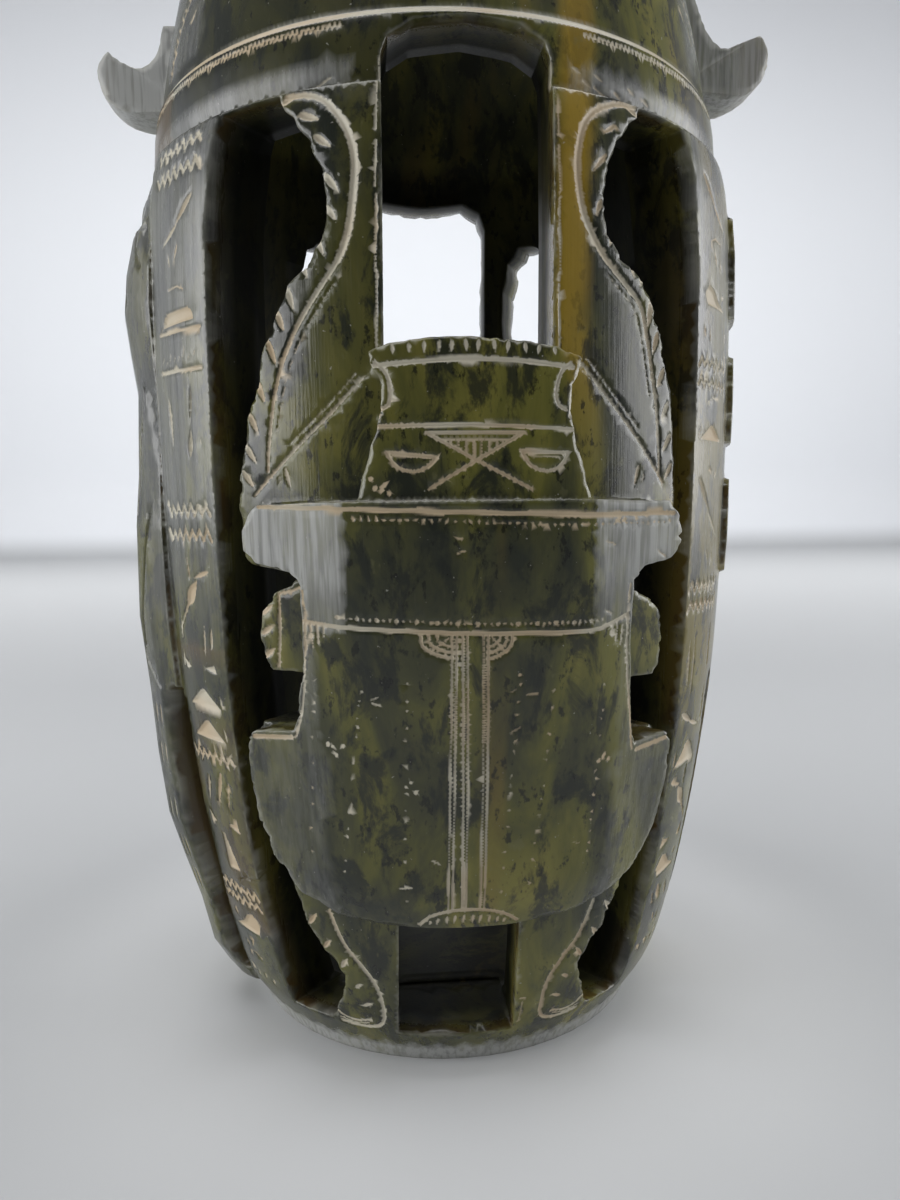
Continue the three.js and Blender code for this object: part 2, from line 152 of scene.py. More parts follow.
# ---------------------------------------------------------------- engraving
class Engraving:
    """Depth and paleness of the cut strokes on an unrolled surface: azimuth in degrees by height in mm."""

    def __init__(self, a0, a1, z0, z1, radius, step, lean=False):
        self.lean = lean
        self.a0, self.z0, self.step = a0, z0, step
        self.k = radius * DEG
        self.na = int((a1 - a0) * self.k / step) + 1
        self.nz = int((z1 - z0) / step) + 1
        self.depth = np.zeros((self.nz, self.na), np.float32)
        self.pale = np.zeros((self.nz, self.na), np.float32)
        self.size = None

    def _window(self, pts, pad):
        lo, hi = pts.min(0) - pad, pts.max(0) + pad
        i0 = max(0, int((lo[0] - self.a0 * self.k) / self.step))
        i1 = min(self.na, int((hi[0] - self.a0 * self.k) / self.step) + 2)
        j0 = max(0, int((lo[1] - self.z0) / self.step))
        j1 = min(self.nz, int((hi[1] - self.z0) / self.step) + 2)
        if i1 <= i0 or j1 <= j0:
            return None
        x = self.a0 * self.k + self.step * np.arange(i0, i1)
        z = self.z0 + self.step * np.arange(j0, j1)
        return (slice(j0, j1), slice(i0, i1)), *np.meshgrid(x, z)

    def _put(self, win, depth, pale):
        np.maximum(self.depth[win], depth, out=self.depth[win])
        np.maximum(self.pale[win], pale, out=self.pale[win])

    def stroke(self, pts, width=0.8, deep=0.35, tone=1.0, end_width=None, rough=0.0):
        """A V cut along points (azimuth, height), optionally changing width from its first end to its last."""
        p = np.array(pts, float)
        p[:, 0] *= self.k
        w1 = width if end_width is None else end_width
        seg = np.sqrt((np.diff(p, axis=0) ** 2).sum(1))
        run = np.concatenate([[0], np.cumsum(seg)])
        total = max(run[-1], 1e-6)
        for i in range(len(p) - 1):
            if seg[i] < 1e-6:
                continue
            got = self._window(p[i:i + 2], max(width, w1))
            if got is None:
                continue
            win, x, z = got
            d = p[i + 1] - p[i]
            t = np.clip(((x - p[i, 0]) * d[0] + (z - p[i, 1]) * d[1]) / (seg[i] ** 2), 0, 1)
            dist = np.hypot(x - p[i, 0] - t * d[0], z - p[i, 1] - t * d[1])
            f = (run[i] + t * seg[i]) / total
            half = 0.5 * (width + (w1 - width) * f)
            if rough:
                half = half * (1 + rough * np.sin(9.1 * x + 5.3 * z) * np.sin(6.7 * z - 3.1 * x))
            v = np.clip(1 - dist / np.maximum(half, 1e-3), 0, 1)
            big = np.maximum(width, w1)
            self._put(win, deep * np.minimum(1, v * 1.5) * np.minimum(1, half / (0.35 * big)), tone * np.clip(v * 3.2, 0, 1))

    def chip(self, poly, deep=0.5, tone=1.0):
        """A filled cut with sloping sides."""
        p = np.array(poly, float)
        p[:, 0] *= self.k
        got = self._window(p, 0.5)
        if got is None:
            return
        win, x, z = got
        inside = np.zeros(x.shape, bool)
        dist = np.full(x.shape, 1e9)
        for i in range(len(p)):
            a, b = p[i], p[(i + 1) % len(p)]
            cross = ((a[1] > z) != (b[1] > z)) & (x < (b[0] - a[0]) * (z - a[1]) / (b[1] - a[1] + 1e-12) + a[0])
            inside ^= cross
            d = b - a
            t = np.clip(((x - a[0]) * d[0] + (z - a[1]) * d[1]) / max(d @ d, 1e-9), 0, 1)
            dist = np.minimum(dist, np.hypot(x - a[0] - t * d[0], z - a[1] - t * d[1]))
        v = np.where(inside, dist, 0)
        self._put(win, deep * np.minimum(1, v / 0.55), tone * np.clip(v / 0.25, 0, 1))

    def leaf(self, tail, tip, width=1.2, deep=0.45, tone=1.0, bulge=0.4):
        """Almond-shaped cut from one point to another."""
        p, q = np.array(tail, float), np.array(tip, float)
        d = (q - p) * [self.k, 1]
        n = np.array([-d[1], d[0]]) / max(1e-6, np.hypot(*d))
        side = []
        for s_ in (1, -1):
            row = []
            for t in np.linspace(0, 1, 9)[1:-1]:
                w = 0.5 * width * (math.sin(math.pi * t ** (0.7 if bulge < 0.5 else 1.4)))
                row.append(p + (q - p) * t + s_ * w * n / [self.k, 1])
            side.append(row if s_ > 0 else row[::-1])
        self.chip([p] + side[0] + [q] + side[1], deep, tone)

    def dot(self, a, z, d=0.6, deep=0.25, tone=1.0):
        c = np.array([[a * self.k, z]])
        got = self._window(c, d)
        if got is None:
            return
        win, x, y = got
        v = np.clip(1 - np.hypot(x - c[0, 0], y - c[0, 1]) / (0.5 * d), 0, 1)
        self._put(win, deep * np.minimum(1, 1.6 * v), tone * np.clip(3 * v, 0, 1))

    def finish(self, levels):
        """Wanted edge length: fine on strokes, coarser away from them. levels is [(distance mm, length mm), ...]."""
        mask = self.depth > 0.02
        size = np.full(mask.shape, 99.0, np.float32)
        grown, at = mask.copy(), 0
        for dist, length in levels:
            n = int(round(dist / self.step)) - at
            for _ in range(max(0, n)):
                g = grown.copy()
                g[1:] |= grown[:-1]; g[:-1] |= grown[1:]; g[:, 1:] |= grown[:, :-1]; g[:, :-1] |= grown[:, 1:]
                grown = g
            at += max(0, n)
            size = np.where(grown, np.minimum(size, length), size)
        self.size = size

    def sample(self, grid, a, z, fill=0.0):
        if self.lean:
            a = a - LEAN * (z - LEAN_Z)
        x = (a - self.a0) * self.k / self.step
        y = (z - self.z0) / self.step
        ok = (x >= 0) & (y >= 0) & (x < self.na - 1) & (y < self.nz - 1)
        xi = np.clip(x, 0, self.na - 2).astype(int)
        yi = np.clip(y, 0, self.nz - 2).astype(int)
        fx, fy = np.clip(x - xi, 0, 1), np.clip(y - yi, 0, 1)
        v = (grid[yi, xi] * (1 - fx) * (1 - fy) + grid[yi, xi + 1] * fx * (1 - fy)
             + grid[yi + 1, xi] * (1 - fx) * fy + grid[yi + 1, xi + 1] * fx * fy)
        return np.where(ok, v, fill)


def spline(pts, n=40):
    """Catmull-Rom through a few stations."""
    p = np.array(pts, float)
    q = np.vstack([2 * p[0] - p[1], p, 2 * p[-1] - p[-2]])
    out = []
    per = max(2, n // (len(p) - 1))
    for i in range(len(p) - 1):
        a, b, c, d = q[i:i + 4]
        for t in np.linspace(0, 1, per, endpoint=False):
            out.append(0.5 * (2 * b + (c - a) * t + (2 * a - 5 * b + 4 * c - d) * t * t + (3 * b - a - 3 * c + d) * t ** 3))
    out.append(p[-1])
    return np.array(out)


def along(path, f):
    """Point and unit direction at fraction f of a path."""
    seg = np.hypot(*(np.diff(path, axis=0) * [1.08, 1]).T)
    run = np.concatenate([[0], np.cumsum(seg)]) / seg.sum()
    i = min(len(seg) - 1, int(np.searchsorted(run, f, side="right") - 1))
    t = (f - run[i]) / max(1e-9, run[i + 1] - run[i])
    d = (path[i + 1] - path[i]) * [1.08, 1]
    return path[i] + t * (path[i + 1] - path[i]), d / max(1e-9, np.hypot(*d))


scarab_cut = Engraving(-41, 41, 32, 132, 66.5, 0.12, True)
wall_cut = Engraving(-96, 96, 2, 218, 61.5, 0.15, True)
rear_cut = Engraving(-96, 96, 2, 190, 61.5, 0.24)

S, W = scarab_cut, wall_cut


def engrave_scarab():
    # head: clypeus band with short ticks, side arcs, eye line
    S.stroke(spline([(-13.2, 125.7), (-6, 126.3), (0, 126.5), (7, 126.3), (13.9, 125.6)]), 0.85, 0.3)
    for i in range(12):
        a = -10.6 + 21.4 * i / 11 + 0.3 * math.sin(7 * i)
        top = 129.7 - 1.2 * (a / 12) ** 2
        S.leaf((a, top), (a + 0.3 * math.sin(3 * i), 127.1), 0.85, 0.3, 0.9)
    S.stroke(spline([(-14.4, 126.6), (-14.0, 124.4), (-12.9, 121.6), (-12.6, 118.0)]), 0.6, 0.25, tone=0.9)
    S.stroke(spline([(-13.0, 126.2), (-11.6, 124.8), (-10.9, 122.0), (-11.2, 120.0), (-12.3, 119.2)]), 0.7, 0.3)
    S.stroke(spline([(15.0, 126.6), (14.6, 124.6), (13.8, 121.8), (13.6, 118.0)]), 0.6, 0.25, tone=0.9)
    S.stroke(spline([(13.6, 126.2), (12.2, 124.8), (11.5, 122.0), (11.8, 120.0), (12.9, 119.2)]), 0.7, 0.3)
    S.stroke([(-12.6, 116.7), (0, 116.8), (14.0, 116.2)], 0.7, 0.28)
    # crossing lines with a hatched triangle between them
    S.stroke([(-6.0, 115.5), (0.6, 111.4), (8.2, 107.0)], 0.6, 0.3)
    S.stroke([(6.6, 115.4), (0.8, 111.6), (-5.8, 107.2)], 0.6, 0.3)
    S.stroke([(-6.2, 115.6), (7.0, 115.6)], 0.7, 0.3)
    S.stroke([(-5.0, 114.6), (5.8, 114.5)], 0.4, 0.25, tone=0.9)
    for i in range(7):
        a = -3.0 + 1.05 * i
        S.stroke([(a, 114.4), (a, 114.4 - 2.9 * (1 - abs(a - 0.3) / 5.0))], 0.42, 0.28, tone=0.9)
    # eyes
    for side, c in ((-1, -8.3), (1, 10.0)):
        S.stroke([(c - 3.4, 112.8), (c + 3.5, 111.9 if side < 0 else 112.6)], 0.7, 0.3)
        S.stroke(spline([(c - 3.4, 112.8), (c - 1.9, 110.6), (c + 0.3, 109.8), (c + 2.2, 110.5), (c + 3.5, 111.9 if side < 0 else 112.6)]), 0.65, 0.3)
        S.stroke([(c - 2.4, 112.2), (c + 2.2, 111.9)], 0.35, 0.2, tone=0.7)
    # thorax: upper border with a row of dots
    S.stroke([(-30.4, 104.9), (-15.7, 104.2), (-4.3, 103.7), (8.0, 103.2), (20.0, 103.0), (31.8, 103.1)], 0.85, 0.28, tone=0.95)
    S.stroke([(-30.0, 105.6), (-22.0, 105.3)], 0.4, 0.15, tone=0.6)
    for i in range(46):
        a = -16 + 47 * i / 45
        z = np.interp(a, [-16, -2.7, 11.0, 19.0, 31.0], [102.7, 102.2, 101.5, 101.5, 101.7])
        S.dot(a, z, (0.72 if i % 3 == 0 else 0.55) if a < 20 else 0.5, 0.22, 0.85)
    # lower border of the thorax: broad line with dots above it
    low = spline([(-24.4, 86.7), (-18.1, 85.9), (-10.0, 85.4), (-1.2, 84.9), (8.6, 84.6), (16.9, 84.5), (20.4, 85.3), (23.6, 86.6)], 60)
    S.stroke(low, 0.85, 0.32, tone=0.85)
    for i in range(42):
        q, _ = along(low, 0.12 + 0.78 * i / 41)
        S.dot(q[0], q[1] + 1.5, 0.85 if i % 3 == 0 else 0.5, 0.25, 0.95)
    # corner fans
    for side, z0 in ((-1, 86.0), (1, 85.2)):
        for k, (a, z) in enumerate(((23.6, 82.2), (22.6, 82.5), (21.7, 83.2), (20.9, 84.2))):
            S.stroke([(side * (24.0 - 1.05 * k), z0), (side * a, z + (z0 - 86.0))], 0.4, 0.25, end_width=0.3)
    # middle lines of the wing cases, in pairs
    for a0, a1 in ((-2.5, -3.1), (-1.1, -0.85), (1.75, 2.1)):
        for d in (-0.32, 0.32):
            S.stroke(spline([(a0 + d, 84.6), ((a0 + a1) / 2 + d + 0.05, 62), (a1 + d, 37.4)], 24), 0.40, 0.3)
    # bracket fans under the thorax
    for side, c, wide, tall in ((-1, -2.7, 4.4, 3.6), (1, 2.0, 3.5, 3.9)):
        for r, w in ((1.0, 0.6), (0.76, 0.5), (0.5, 0.4)):
            S.stroke(spline([(c + side * r * wide, 84.7), (c + side * r * wide * 0.92, 84.6 - 0.5 * r * tall), (c + side * r * wide * 0.45, 84.6 - 0.86 * r * tall), (c, 84.6 - r * tall)], 16), w, 0.28)
        S.stroke([(c + side * 0.6, 84.2), (c + side * 0.66 * wide, 84.6 - 0.66 * tall)], 0.35, 0.22, tone=0.8)
    # columns of pricked dots
    for a0, a1, z1, z0 in ((-22.6, -25.6, 77, 46), (-15.6, -19.8, 75.6, 44), (-9.0, -10.2, 77, 38.6), (6.7, 5.0, 78, 40), (11.8, 9.5, 75.2, 40), (20.0, 19.4, 75.4, 45)):
        z = z1
        while z > z0:
            f = (z1 - z) / (z1 - z0)
            S.dot(a0 + (a1 - a0) * f + rng.uniform(-0.12, 0.12), z, rng.uniform(0.5, 0.64), 0.18, rng.uniform(0.5, 0.95))
            z -= rng.choice([1.5, 2.1, 2.9, 4.4])
    # tail lens with hatching
    lens = spline([(-8.2, 34.3), (-6.4, 36.0), (-3.4, 37.1), (0.0, 37.4), (3.6, 36.9), (6.4, 35.8), (8.4, 34.3)], 40)
    S.stroke(lens, 0.7, 0.3)
    for i in range(10):
        q, _ = along(lens, 0.14 + 0.72 * i / 9)
        S.leaf((q[0], q[1] - 0.8), (q[0] - 0.3 + 0.2 * math.sin(4 * i), 33.9), 0.75, 0.28, 0.95)
    # lines that follow the waist and the top of the hips
    for side, low_ in ((-1, 67.4), (1, 63.4)):
        S.stroke(spline([(side * 24.0, 91.6), (side * 23.7, 88), (side * 23.8, 83), (side * 24.4, 76), (side * 25.1, 71.5), (side * 26.4, low_)], 30), 0.5, 0.25, tone=0.85)
    S.stroke([(-27.2, 67.2), (-33.6, 66.8)], 0.9, 0.2, tone=0.95)
    S.stroke([(27.4, 63.0), (33.4, 64.2)], 0.9, 0.2, tone=0.95)
    # stray nicks and powder left in the stone
    for _ in range(16):
        a, z, t = rng.uniform(-30, 30), rng.uniform(40, 100), rng.uniform(-0.6, 0.6)
        n = rng.uniform(0.6, 2.2)
        S.stroke([(a, z), (a + n * math.cos(t) / 1.16, z + n * math.sin(t))], 0.42, 0.12, tone=rng.uniform(0.4, 0.8))
    for a, z, n in ((-12.8, 107.4, 7), (21.8, 102.3, 9), (15.5, 117, 3), (-20, 65.5, 4), (20.5, 63, 5), (-9, 59.6, 3)):
        for _ in range(n):
            S.dot(a + rng.normal(0, 0.9), z + rng.normal(0, 0.7), rng.uniform(0.55, 0.95), 0.08, 1.0)


SERPENT = [(27.6, 168.5), (24.4, 168.2), (21.5, 167.0), (18.9, 164.0), (17.2, 160.6), (16.5, 156.8), (16.8, 152.3), (17.5, 147.2), (19.0, 142.8),
           (22.1, 138.4), (25.4, 133.6), (28.0, 128.6), (30.0, 122.3), (31.3, 114.1), (31.6, 110.6)]
# leaf cuts between the line and the edge of the panel: edge end, line end, width
LEAVES = [((25.6, 165.4), (21.4, 163.8), 1.5), ((22.9, 161.8), (19.6, 159.3), 1.4), ((21.3, 156.0), (18.5, 152.2), 1.35), ((21.0, 151.2), (19.0, 148.1), 1.2),
          ((22.6, 147.0), (20.9, 142.7), 1.1), ((25.1, 143.4), (23.6, 139.9), 1.2), ((27.4, 139.6), (26.0, 135.0), 1.3), ((29.4, 136.4), (27.7, 131.9), 1.3),
          ((31.2, 132.0), (29.2, 126.8), 1.25), ((33.5, 126.2), (31.5, 121.0), 1.3), ((35.2, 120.6), (32.9, 116.2), 1.3), ((36.2, 115.5), (33.5, 111.6), 1.3),
          ((37.0, 111.2), (34.0, 107.6), 1.2)]
SERPENT_R = [(27.8, 168.9), (23.9, 168.4), (20.2, 166.6), (17.8, 164.0), (16.6, 159.8), (16.4, 156.1), (17.3, 150.5), (19.3, 146.3), (21.7, 143.1),
             (24.8, 140.2), (27.9, 137.3), (29.2, 134.1), (31.0, 126.5), (32.2, 120.6), (33.0, 114.0), (33.2, 109.6)]
LEAVES_R = [((23.7, 165.0), (20.3, 162.6), 1.0), ((21.6, 160.1), (18.4, 156.2), 1.0), ((20.4, 152.9), (19.3, 149.6), 1.1), ((22.6, 148.1), (21.7, 145.2), 1.0),
            ((25.8, 145.0), (26.8, 140.8), 1.3), ((28.6, 143.4), (28.0, 139.8), 1.5), ((30.7, 139.0), (29.7, 133.2), 1.5), ((32.3, 133.7), (30.8, 129.0), 1.3),
            ((34.0, 127.8), (31.9, 123.6), 1.3), ((35.4, 122.4), (33.0, 118.0), 1.2), ((36.2, 117.0), (33.6, 112.8), 1.2), ((36.8, 112.0), (34.4, 108.4), 1.1)]
TAIL = [(26.4, 33.2), (25.2, 29.6), (23.4, 25.8), (20.6, 22.4), (18.2, 18.6), (17.3, 14.6), (17.5, 11.0), (19.4, 8.9), (23.4, 8.2), (28.4, 8.6)]
TAIL_LEAVES = [((31.8, 29.6), (29.0, 32.6), 1.3), ((29.0, 25.2), (26.6, 27.6), 1.2), ((25.6, 21.6), (23.4, 24.2), 1.2), ((23.2, 17.6), (20.8, 18.8), 1.0), ((22.2, 13.6), (18.7, 14.8), 0.9)]


def engrave_serpents():
    tail = spline(TAIL, 60)
    for side in (-1, 1):
        m = np.array([side, 1.0])
        line = spline(SERPENT if side < 0 else SERPENT_R, 96)
        W.stroke(line[:44] * m, 1.25, 0.4, end_width=1.15, rough=0.08, tone=0.82)
        W.stroke(line[43:] * m, 1.15, 0.4, end_width=0.6, rough=0.08, tone=0.82)
        W.stroke((line[6:50] + [-0.62, 0]) * m, 0.3, 0.1, tone=1.0)
        W.stroke((line[50:76] + [-1.3, -0.9]) * m, 0.3, 0.16, tone=0.5)
        for edge, inner, w in LEAVES if side < 0 else LEAVES_R:
            W.leaf(np.array(edge) * m, np.array(inner) * m, w, 0.55, 1.0)
        # head: brow cut and beak
        W.leaf(np.array((28.9, 167.3)) * m, np.array((25.2, 168.6)) * m, 1.2, 0.4)
        W.stroke(np.array([(25.0, 169.4), (20.9, 171.2)]) * m, 0.45, 0.2, tone=0.6)
        # straight limb line from the scarab's head to the panel edge, in two steps
        limb = [(15.6, 124.6), (20.6, 119.4), (26.6, 114.0), (34.4, 106.8)] if side < 0 else [(17.2, 127.0), (21.8, 122.0), (27.2, 116.4), (34.4, 108.2)]
        W.stroke(np.array(limb) * m, 0.62, 0.35, tone=0.7)
        W.stroke((np.array(limb[:3]) + [1.0, 0.7]) * m, 0.35, 0.2, tone=0.45)
        W.leaf(np.array((28.6, 111.6)) * m, np.array((27.4, 107.0)) * m, 0.9, 0.4, 0.8)
        W.leaf(np.array((29.8, 110.2)) * m, np.array((29.2, 107.6)) * m, 0.6, 0.35, 0.6)
        # lower coil
        W.stroke(tail * m, 1.0, 0.4, rough=0.1, tone=0.85)
        for edge, inner, w in TAIL_LEAVES:
            W.leaf(np.array(edge) * m, np.array(inner) * m, w, 0.5, 0.95)
        W.stroke(spline([(20.6, 10.4), (24.4, 9.6), (27.6, 10.4), (30.0, 12.6)], 16) * m, 0.6, 0.32, tone=0.9)
        W.stroke(spline([(21.2, 9.5), (24.6, 8.9), (28.6, 9.6)], 14) * m, 0.45, 0.25, tone=0.7)
        # worn stretches of a border line along the slot
        for z0, z1 in ((128, 139), (140.5, 152), (153, 160), (161.5, 173.5)):
            W.stroke([(side * (13.45 + 0.1 * math.sin(z0)), z0), (side * 13.3, z1)], 0.42, 0.2, tone=0.75)
        for z in (149.0, 146.2, 139.0):
            W.leaf((side * 13.2, z), (side * 13.3, z + 2.2), 0.8, 0.3, 0.9)
        W.stroke([(side * 12.6, 9.4), (side * 12.7, 14.2)], 0.45, 0.2, tone=0.6)
        W.stroke([(side * 13.2, 15.0), (side * 12.1, 15.1)], 0.6, 0.25, tone=0.8)
    # rough tool marks under the collar, right of the slot
    for k, (a_, z_) in enumerate(((16.5, 173.6), (18.4, 172.0), (20.6, 173.2), (24.6, 171.4), (27.4, 172.6), (31.0, 171.8))):
        W.leaf((a_, z_), (a_ + 2.6, z_ - 1.3), 0.9, 0.25, 0.55)
    # striped leg on the left of the scarab
    W.stroke([(-30.6, 90.6), (-30.7, 84.5), (-31.4, 78.2)], 0.6, 0.35, tone=0.85)
    W.stroke([(-30.6, 90.5), (-28.6, 90.9), (-26.8, 91.6)], 0.7, 0.3, tone=0.75)
    W.stroke([(-31.6, 89.6), (-28.6, 92.0)], 0.4, 0.2, tone=0.3)
    for z in (88.0, 84.6, 80.6):
        W.leaf((-34.8, z - 1.3), (-31.4, z + 0.9), 1.3, 0.4, 0.85)


def zigzag(a0, a1, z, rise, n, width=0.75):
    pts = [(a0 + (a1 - a0) * i / n, z + (rise if i % 2 else 0) + 0.18 * math.sin(2.3 * i + z)) for i in range(n + 1)]
    W.stroke(pts, width, 0.42, rough=0.1)


def rib_strokes(side, rows, a0=45.2, a1=59.6):
    """Fills a rib between the dividing zigzags with loose rows of tapered cuts, none of them a letter or a sign."""
    c = (a0 + a1) / 2

    def P(u, z):
        return (side * (c + u), z)
    for kind, z, h in rows:
        if kind == "zz":
            zigzag(side * (a0 - 0.2), side * (a1 + 0.4), z - 0.5 * h, h, 13)
        elif kind == "slant":      # long tapered cuts across the rib
            W.leaf(P(-5.8, z + h), P(0.6, z + 0.34 * h), 1.5, 0.5, 0.8)
            W.leaf(P(-1.2, z + 0.45 * h), P(5.8, z), 1.0, 0.45, 0.95)
        elif kind == "fork":       # two uneven upright cuts
            W.leaf(P(-3.6, z + h), P(-3.0, z + 0.42 * h), 1.1, 0.6, 0.5)
            W.leaf(P(-3.2, z + 0.46 * h), P(-2.4, z), 1.9, 0.6, 0.75, 0.8)
            W.leaf(P(4.6, z + 0.94 * h), P(3.4, z + 0.1 * h), 1.2, 0.5, 0.85)
            W.leaf(P(-6.0, z + 0.16 * h), P(-5.8, z + 0.3 * h), 0.6, 0.3, 0.8)
        elif kind == "pair":       # short ticks
            W.leaf(P(-1.0, z + h), P(0.6, z), 0.85, 0.45)
            W.leaf(P(2.6, z + 0.7 * h), P(1.8, z - 0.3 * h), 0.7, 0.4, 0.8)
        elif kind == "nick":
            W.stroke([P(-2.6, z), P(-0.4, z + 0.9), P(2.6, z + 0.7)], 0.4, 0.25, tone=0.7)
        elif kind == "wedge":      # broad flat-bottomed chip and a tick beside it
            W.chip([P(5.6, z), P(-6.2, z - 0.2), P(-5.2, z + 0.5), P(-0.8, z + h), P(0.6, z + h * 0.9)], 0.5)
            W.leaf(P(-6.4, z + 0.1), P(-5.6, z + h * 0.9), 0.7, 0.4, 0.9)
        elif kind == "bar":        # rule with slanting hatching over it
            W.stroke([P(-7.0, z - 0.2), P(7.0, z + 0.5)], 0.85, 0.5, rough=0.1, tone=0.85)
            for i in range(8):
                W.leaf(P(-5.6 + 1.55 * i, z + h * (0.85 + 0.22 * math.sin(4 * i))), P(-4.4 + 1.55 * i, z + 1.2), 0.5, 0.35, 0.75)
        elif kind == "mound":      # low rounded chip over a rule
            W.stroke([P(-7.0, z - 0.3), P(7.0, z + 0.4)], 0.8, 0.45, tone=0.85)
            W.chip([P(5.4 * math.cos(t), z + 1.1 + h * math.sin(t) ** 0.7 * (1 + 0.1 * math.sin(3 * t))) for t in np.linspace(0, math.pi, 12)], 0.5, 0.85)
        elif kind == "fan":        # cuts spreading from one foot
            for d, l in ((-4.4, 0.72), (-0.6, 1.0), (3.6, 0.66)):
                W.leaf(P(0.25 * d, z), P(d, z + h * l), 1.5, 0.5, 0.95, 0.8)
        elif kind == "dart":       # broad blade with a thin tail, and a cut across its head
            W.stroke([P(1.0, z + h), P(0.6, z + 0.74 * h)], 0.5, 0.4, tone=0.7, end_width=0.8)
            W.leaf(P(-6.2, z + 0.84 * h), P(-0.4, z + 0.72 * h), 1.1, 0.45, 0.9)
            W.leaf(P(-2.4, z + 0.74 * h), P(2.4, z + 0.34 * h), 3.1, 0.55, 0.95, 0.8)
            W.stroke([P(1.4, z + 0.42 * h), P(6.2, z)], 0.9, 0.45, end_width=0.35)
        elif kind == "reeds":      # upright cuts of uneven height
            for d, l, f, w in ((-5.4, 0.82, 0.18, 1.0), (-3.2, 0.96, 0.0, 0.7), (5.6, 1.0, 0.3, 0.8), (6.0, 0.2, -0.3, 1.1)):
                W.leaf(P(d, z + h * l), P(d + 0.5, z + h * f), w, 0.45, 0.9, 0.8)
        elif kind == "blades":     # two long slanting leaf cuts, side by side
            W.leaf(P(-2.6, z + h), P(0.6, z + 0.08 * h), 1.5, 0.5, 0.9)
            W.leaf(P(2.4, z + 0.86 * h), P(4.6, z), 1.1, 0.45, 0.85)
            W.stroke([P(-4.6, z + 0.7 * h), P(-3.4, z + 0.2 * h)], 0.55, 0.35, tone=0.8)
        elif kind == "chips":      # two small three-cornered chips
            W.chip([P(-5.8, z), P(-5.2, z + h), P(-1.6, z + 0.6 * h)], 0.45)
            W.chip([P(6.2, z + h * 1.3), P(5.2, z + 0.1), P(2.8, z + 0.3 * h)], 0.45)
        elif kind == "spike":      # tall narrow chip that widens downwards
            W.chip([P(1.4, z + h), P(0.4, z + h), P(-2.8, z + 0.2), P(1.6, z)], 0.5, 0.85)
        elif kind == "blot":       # ragged chip with a thin foot
            W.chip([P(-5.4, z + 0.5 * h), P(-3.6, z + h), P(-1.2, z + 0.86 * h), P(1.2, z + 0.4 * h), P(5.6, z + 0.04 * h), P(-4.4, z)], 0.5)
            W.leaf(P(4.4, z + 0.86 * h), P(3.2, z + 0.5 * h), 0.9, 0.35, 0.9)
        elif kind == "ticks":
            for d, g in ((-4.6, 0.2), (-1.4, 0.5), (2.0, 0.1), (4.6, 0.6)):
                W.leaf(P(d, z + h * (0.6 + 0.4 * g)), P(d + 0.9, z + h * g * 0.3), 0.9, 0.4, 0.9)


LEFT_RIB = [("zz", 166.9, 1.9), ("zz", 162.7, 1.9), ("slant", 150.6, 7.6), ("pair", 147.4, 3.4), ("nick", 142.6, 1), ("mound", 135.9, 2.9),
            ("bar", 129.0, 3.8), ("fork", 113.6, 12.6), ("zz", 104.6, 1.9), ("zz", 100.2, 1.9), ("dart", 82.6, 13.4), ("reeds", 77.6, 8.6), ("chips", 75.0, 1.7),
            ("wedge", 68.4, 3.6), ("wedge", 62.2, 3.8), ("zz", 58.8, 1.7), ("blades", 47.8, 8.6), ("chips", 44.2, 2.2), ("spike", 35.6, 7.6),
            ("zz", 31.6, 1.3), ("zz", 29.3, 1.3), ("blot", 22.4, 4.6), ("pair", 18.4, 2.6), ("nick", 16.4, 1), ("ticks", 10.6, 3.0)]
RIGHT_RIB = [("slant", 155.0, 8.6), ("nick", 152.0, 1), ("pair", 147.6, 2.8), ("blot", 140.4, 3.8), ("reeds", 133.4, 4.6), ("zz", 130.2, 1.7), ("zz", 126.8, 1.7),
             ("nick", 123.4, 1), ("wedge", 116.4, 3.0), ("pair", 109.8, 1.8), ("slant", 98.2, 11.6), ("pair", 93.4, 3.2), ("zz", 89.4, 1.9), ("zz", 85.8, 1.9), ("reeds", 66.8, 17.0),
             ("slant", 61.0, 4.2), ("wedge", 54.4, 4.8), ("dart", 41.4, 12.0), ("chips", 37.6, 2.4), ("blot", 31.6, 4.6), ("blades", 24.6, 5.0), ("pair", 20.2, 2.6), ("ticks", 14.6, 3.6)]


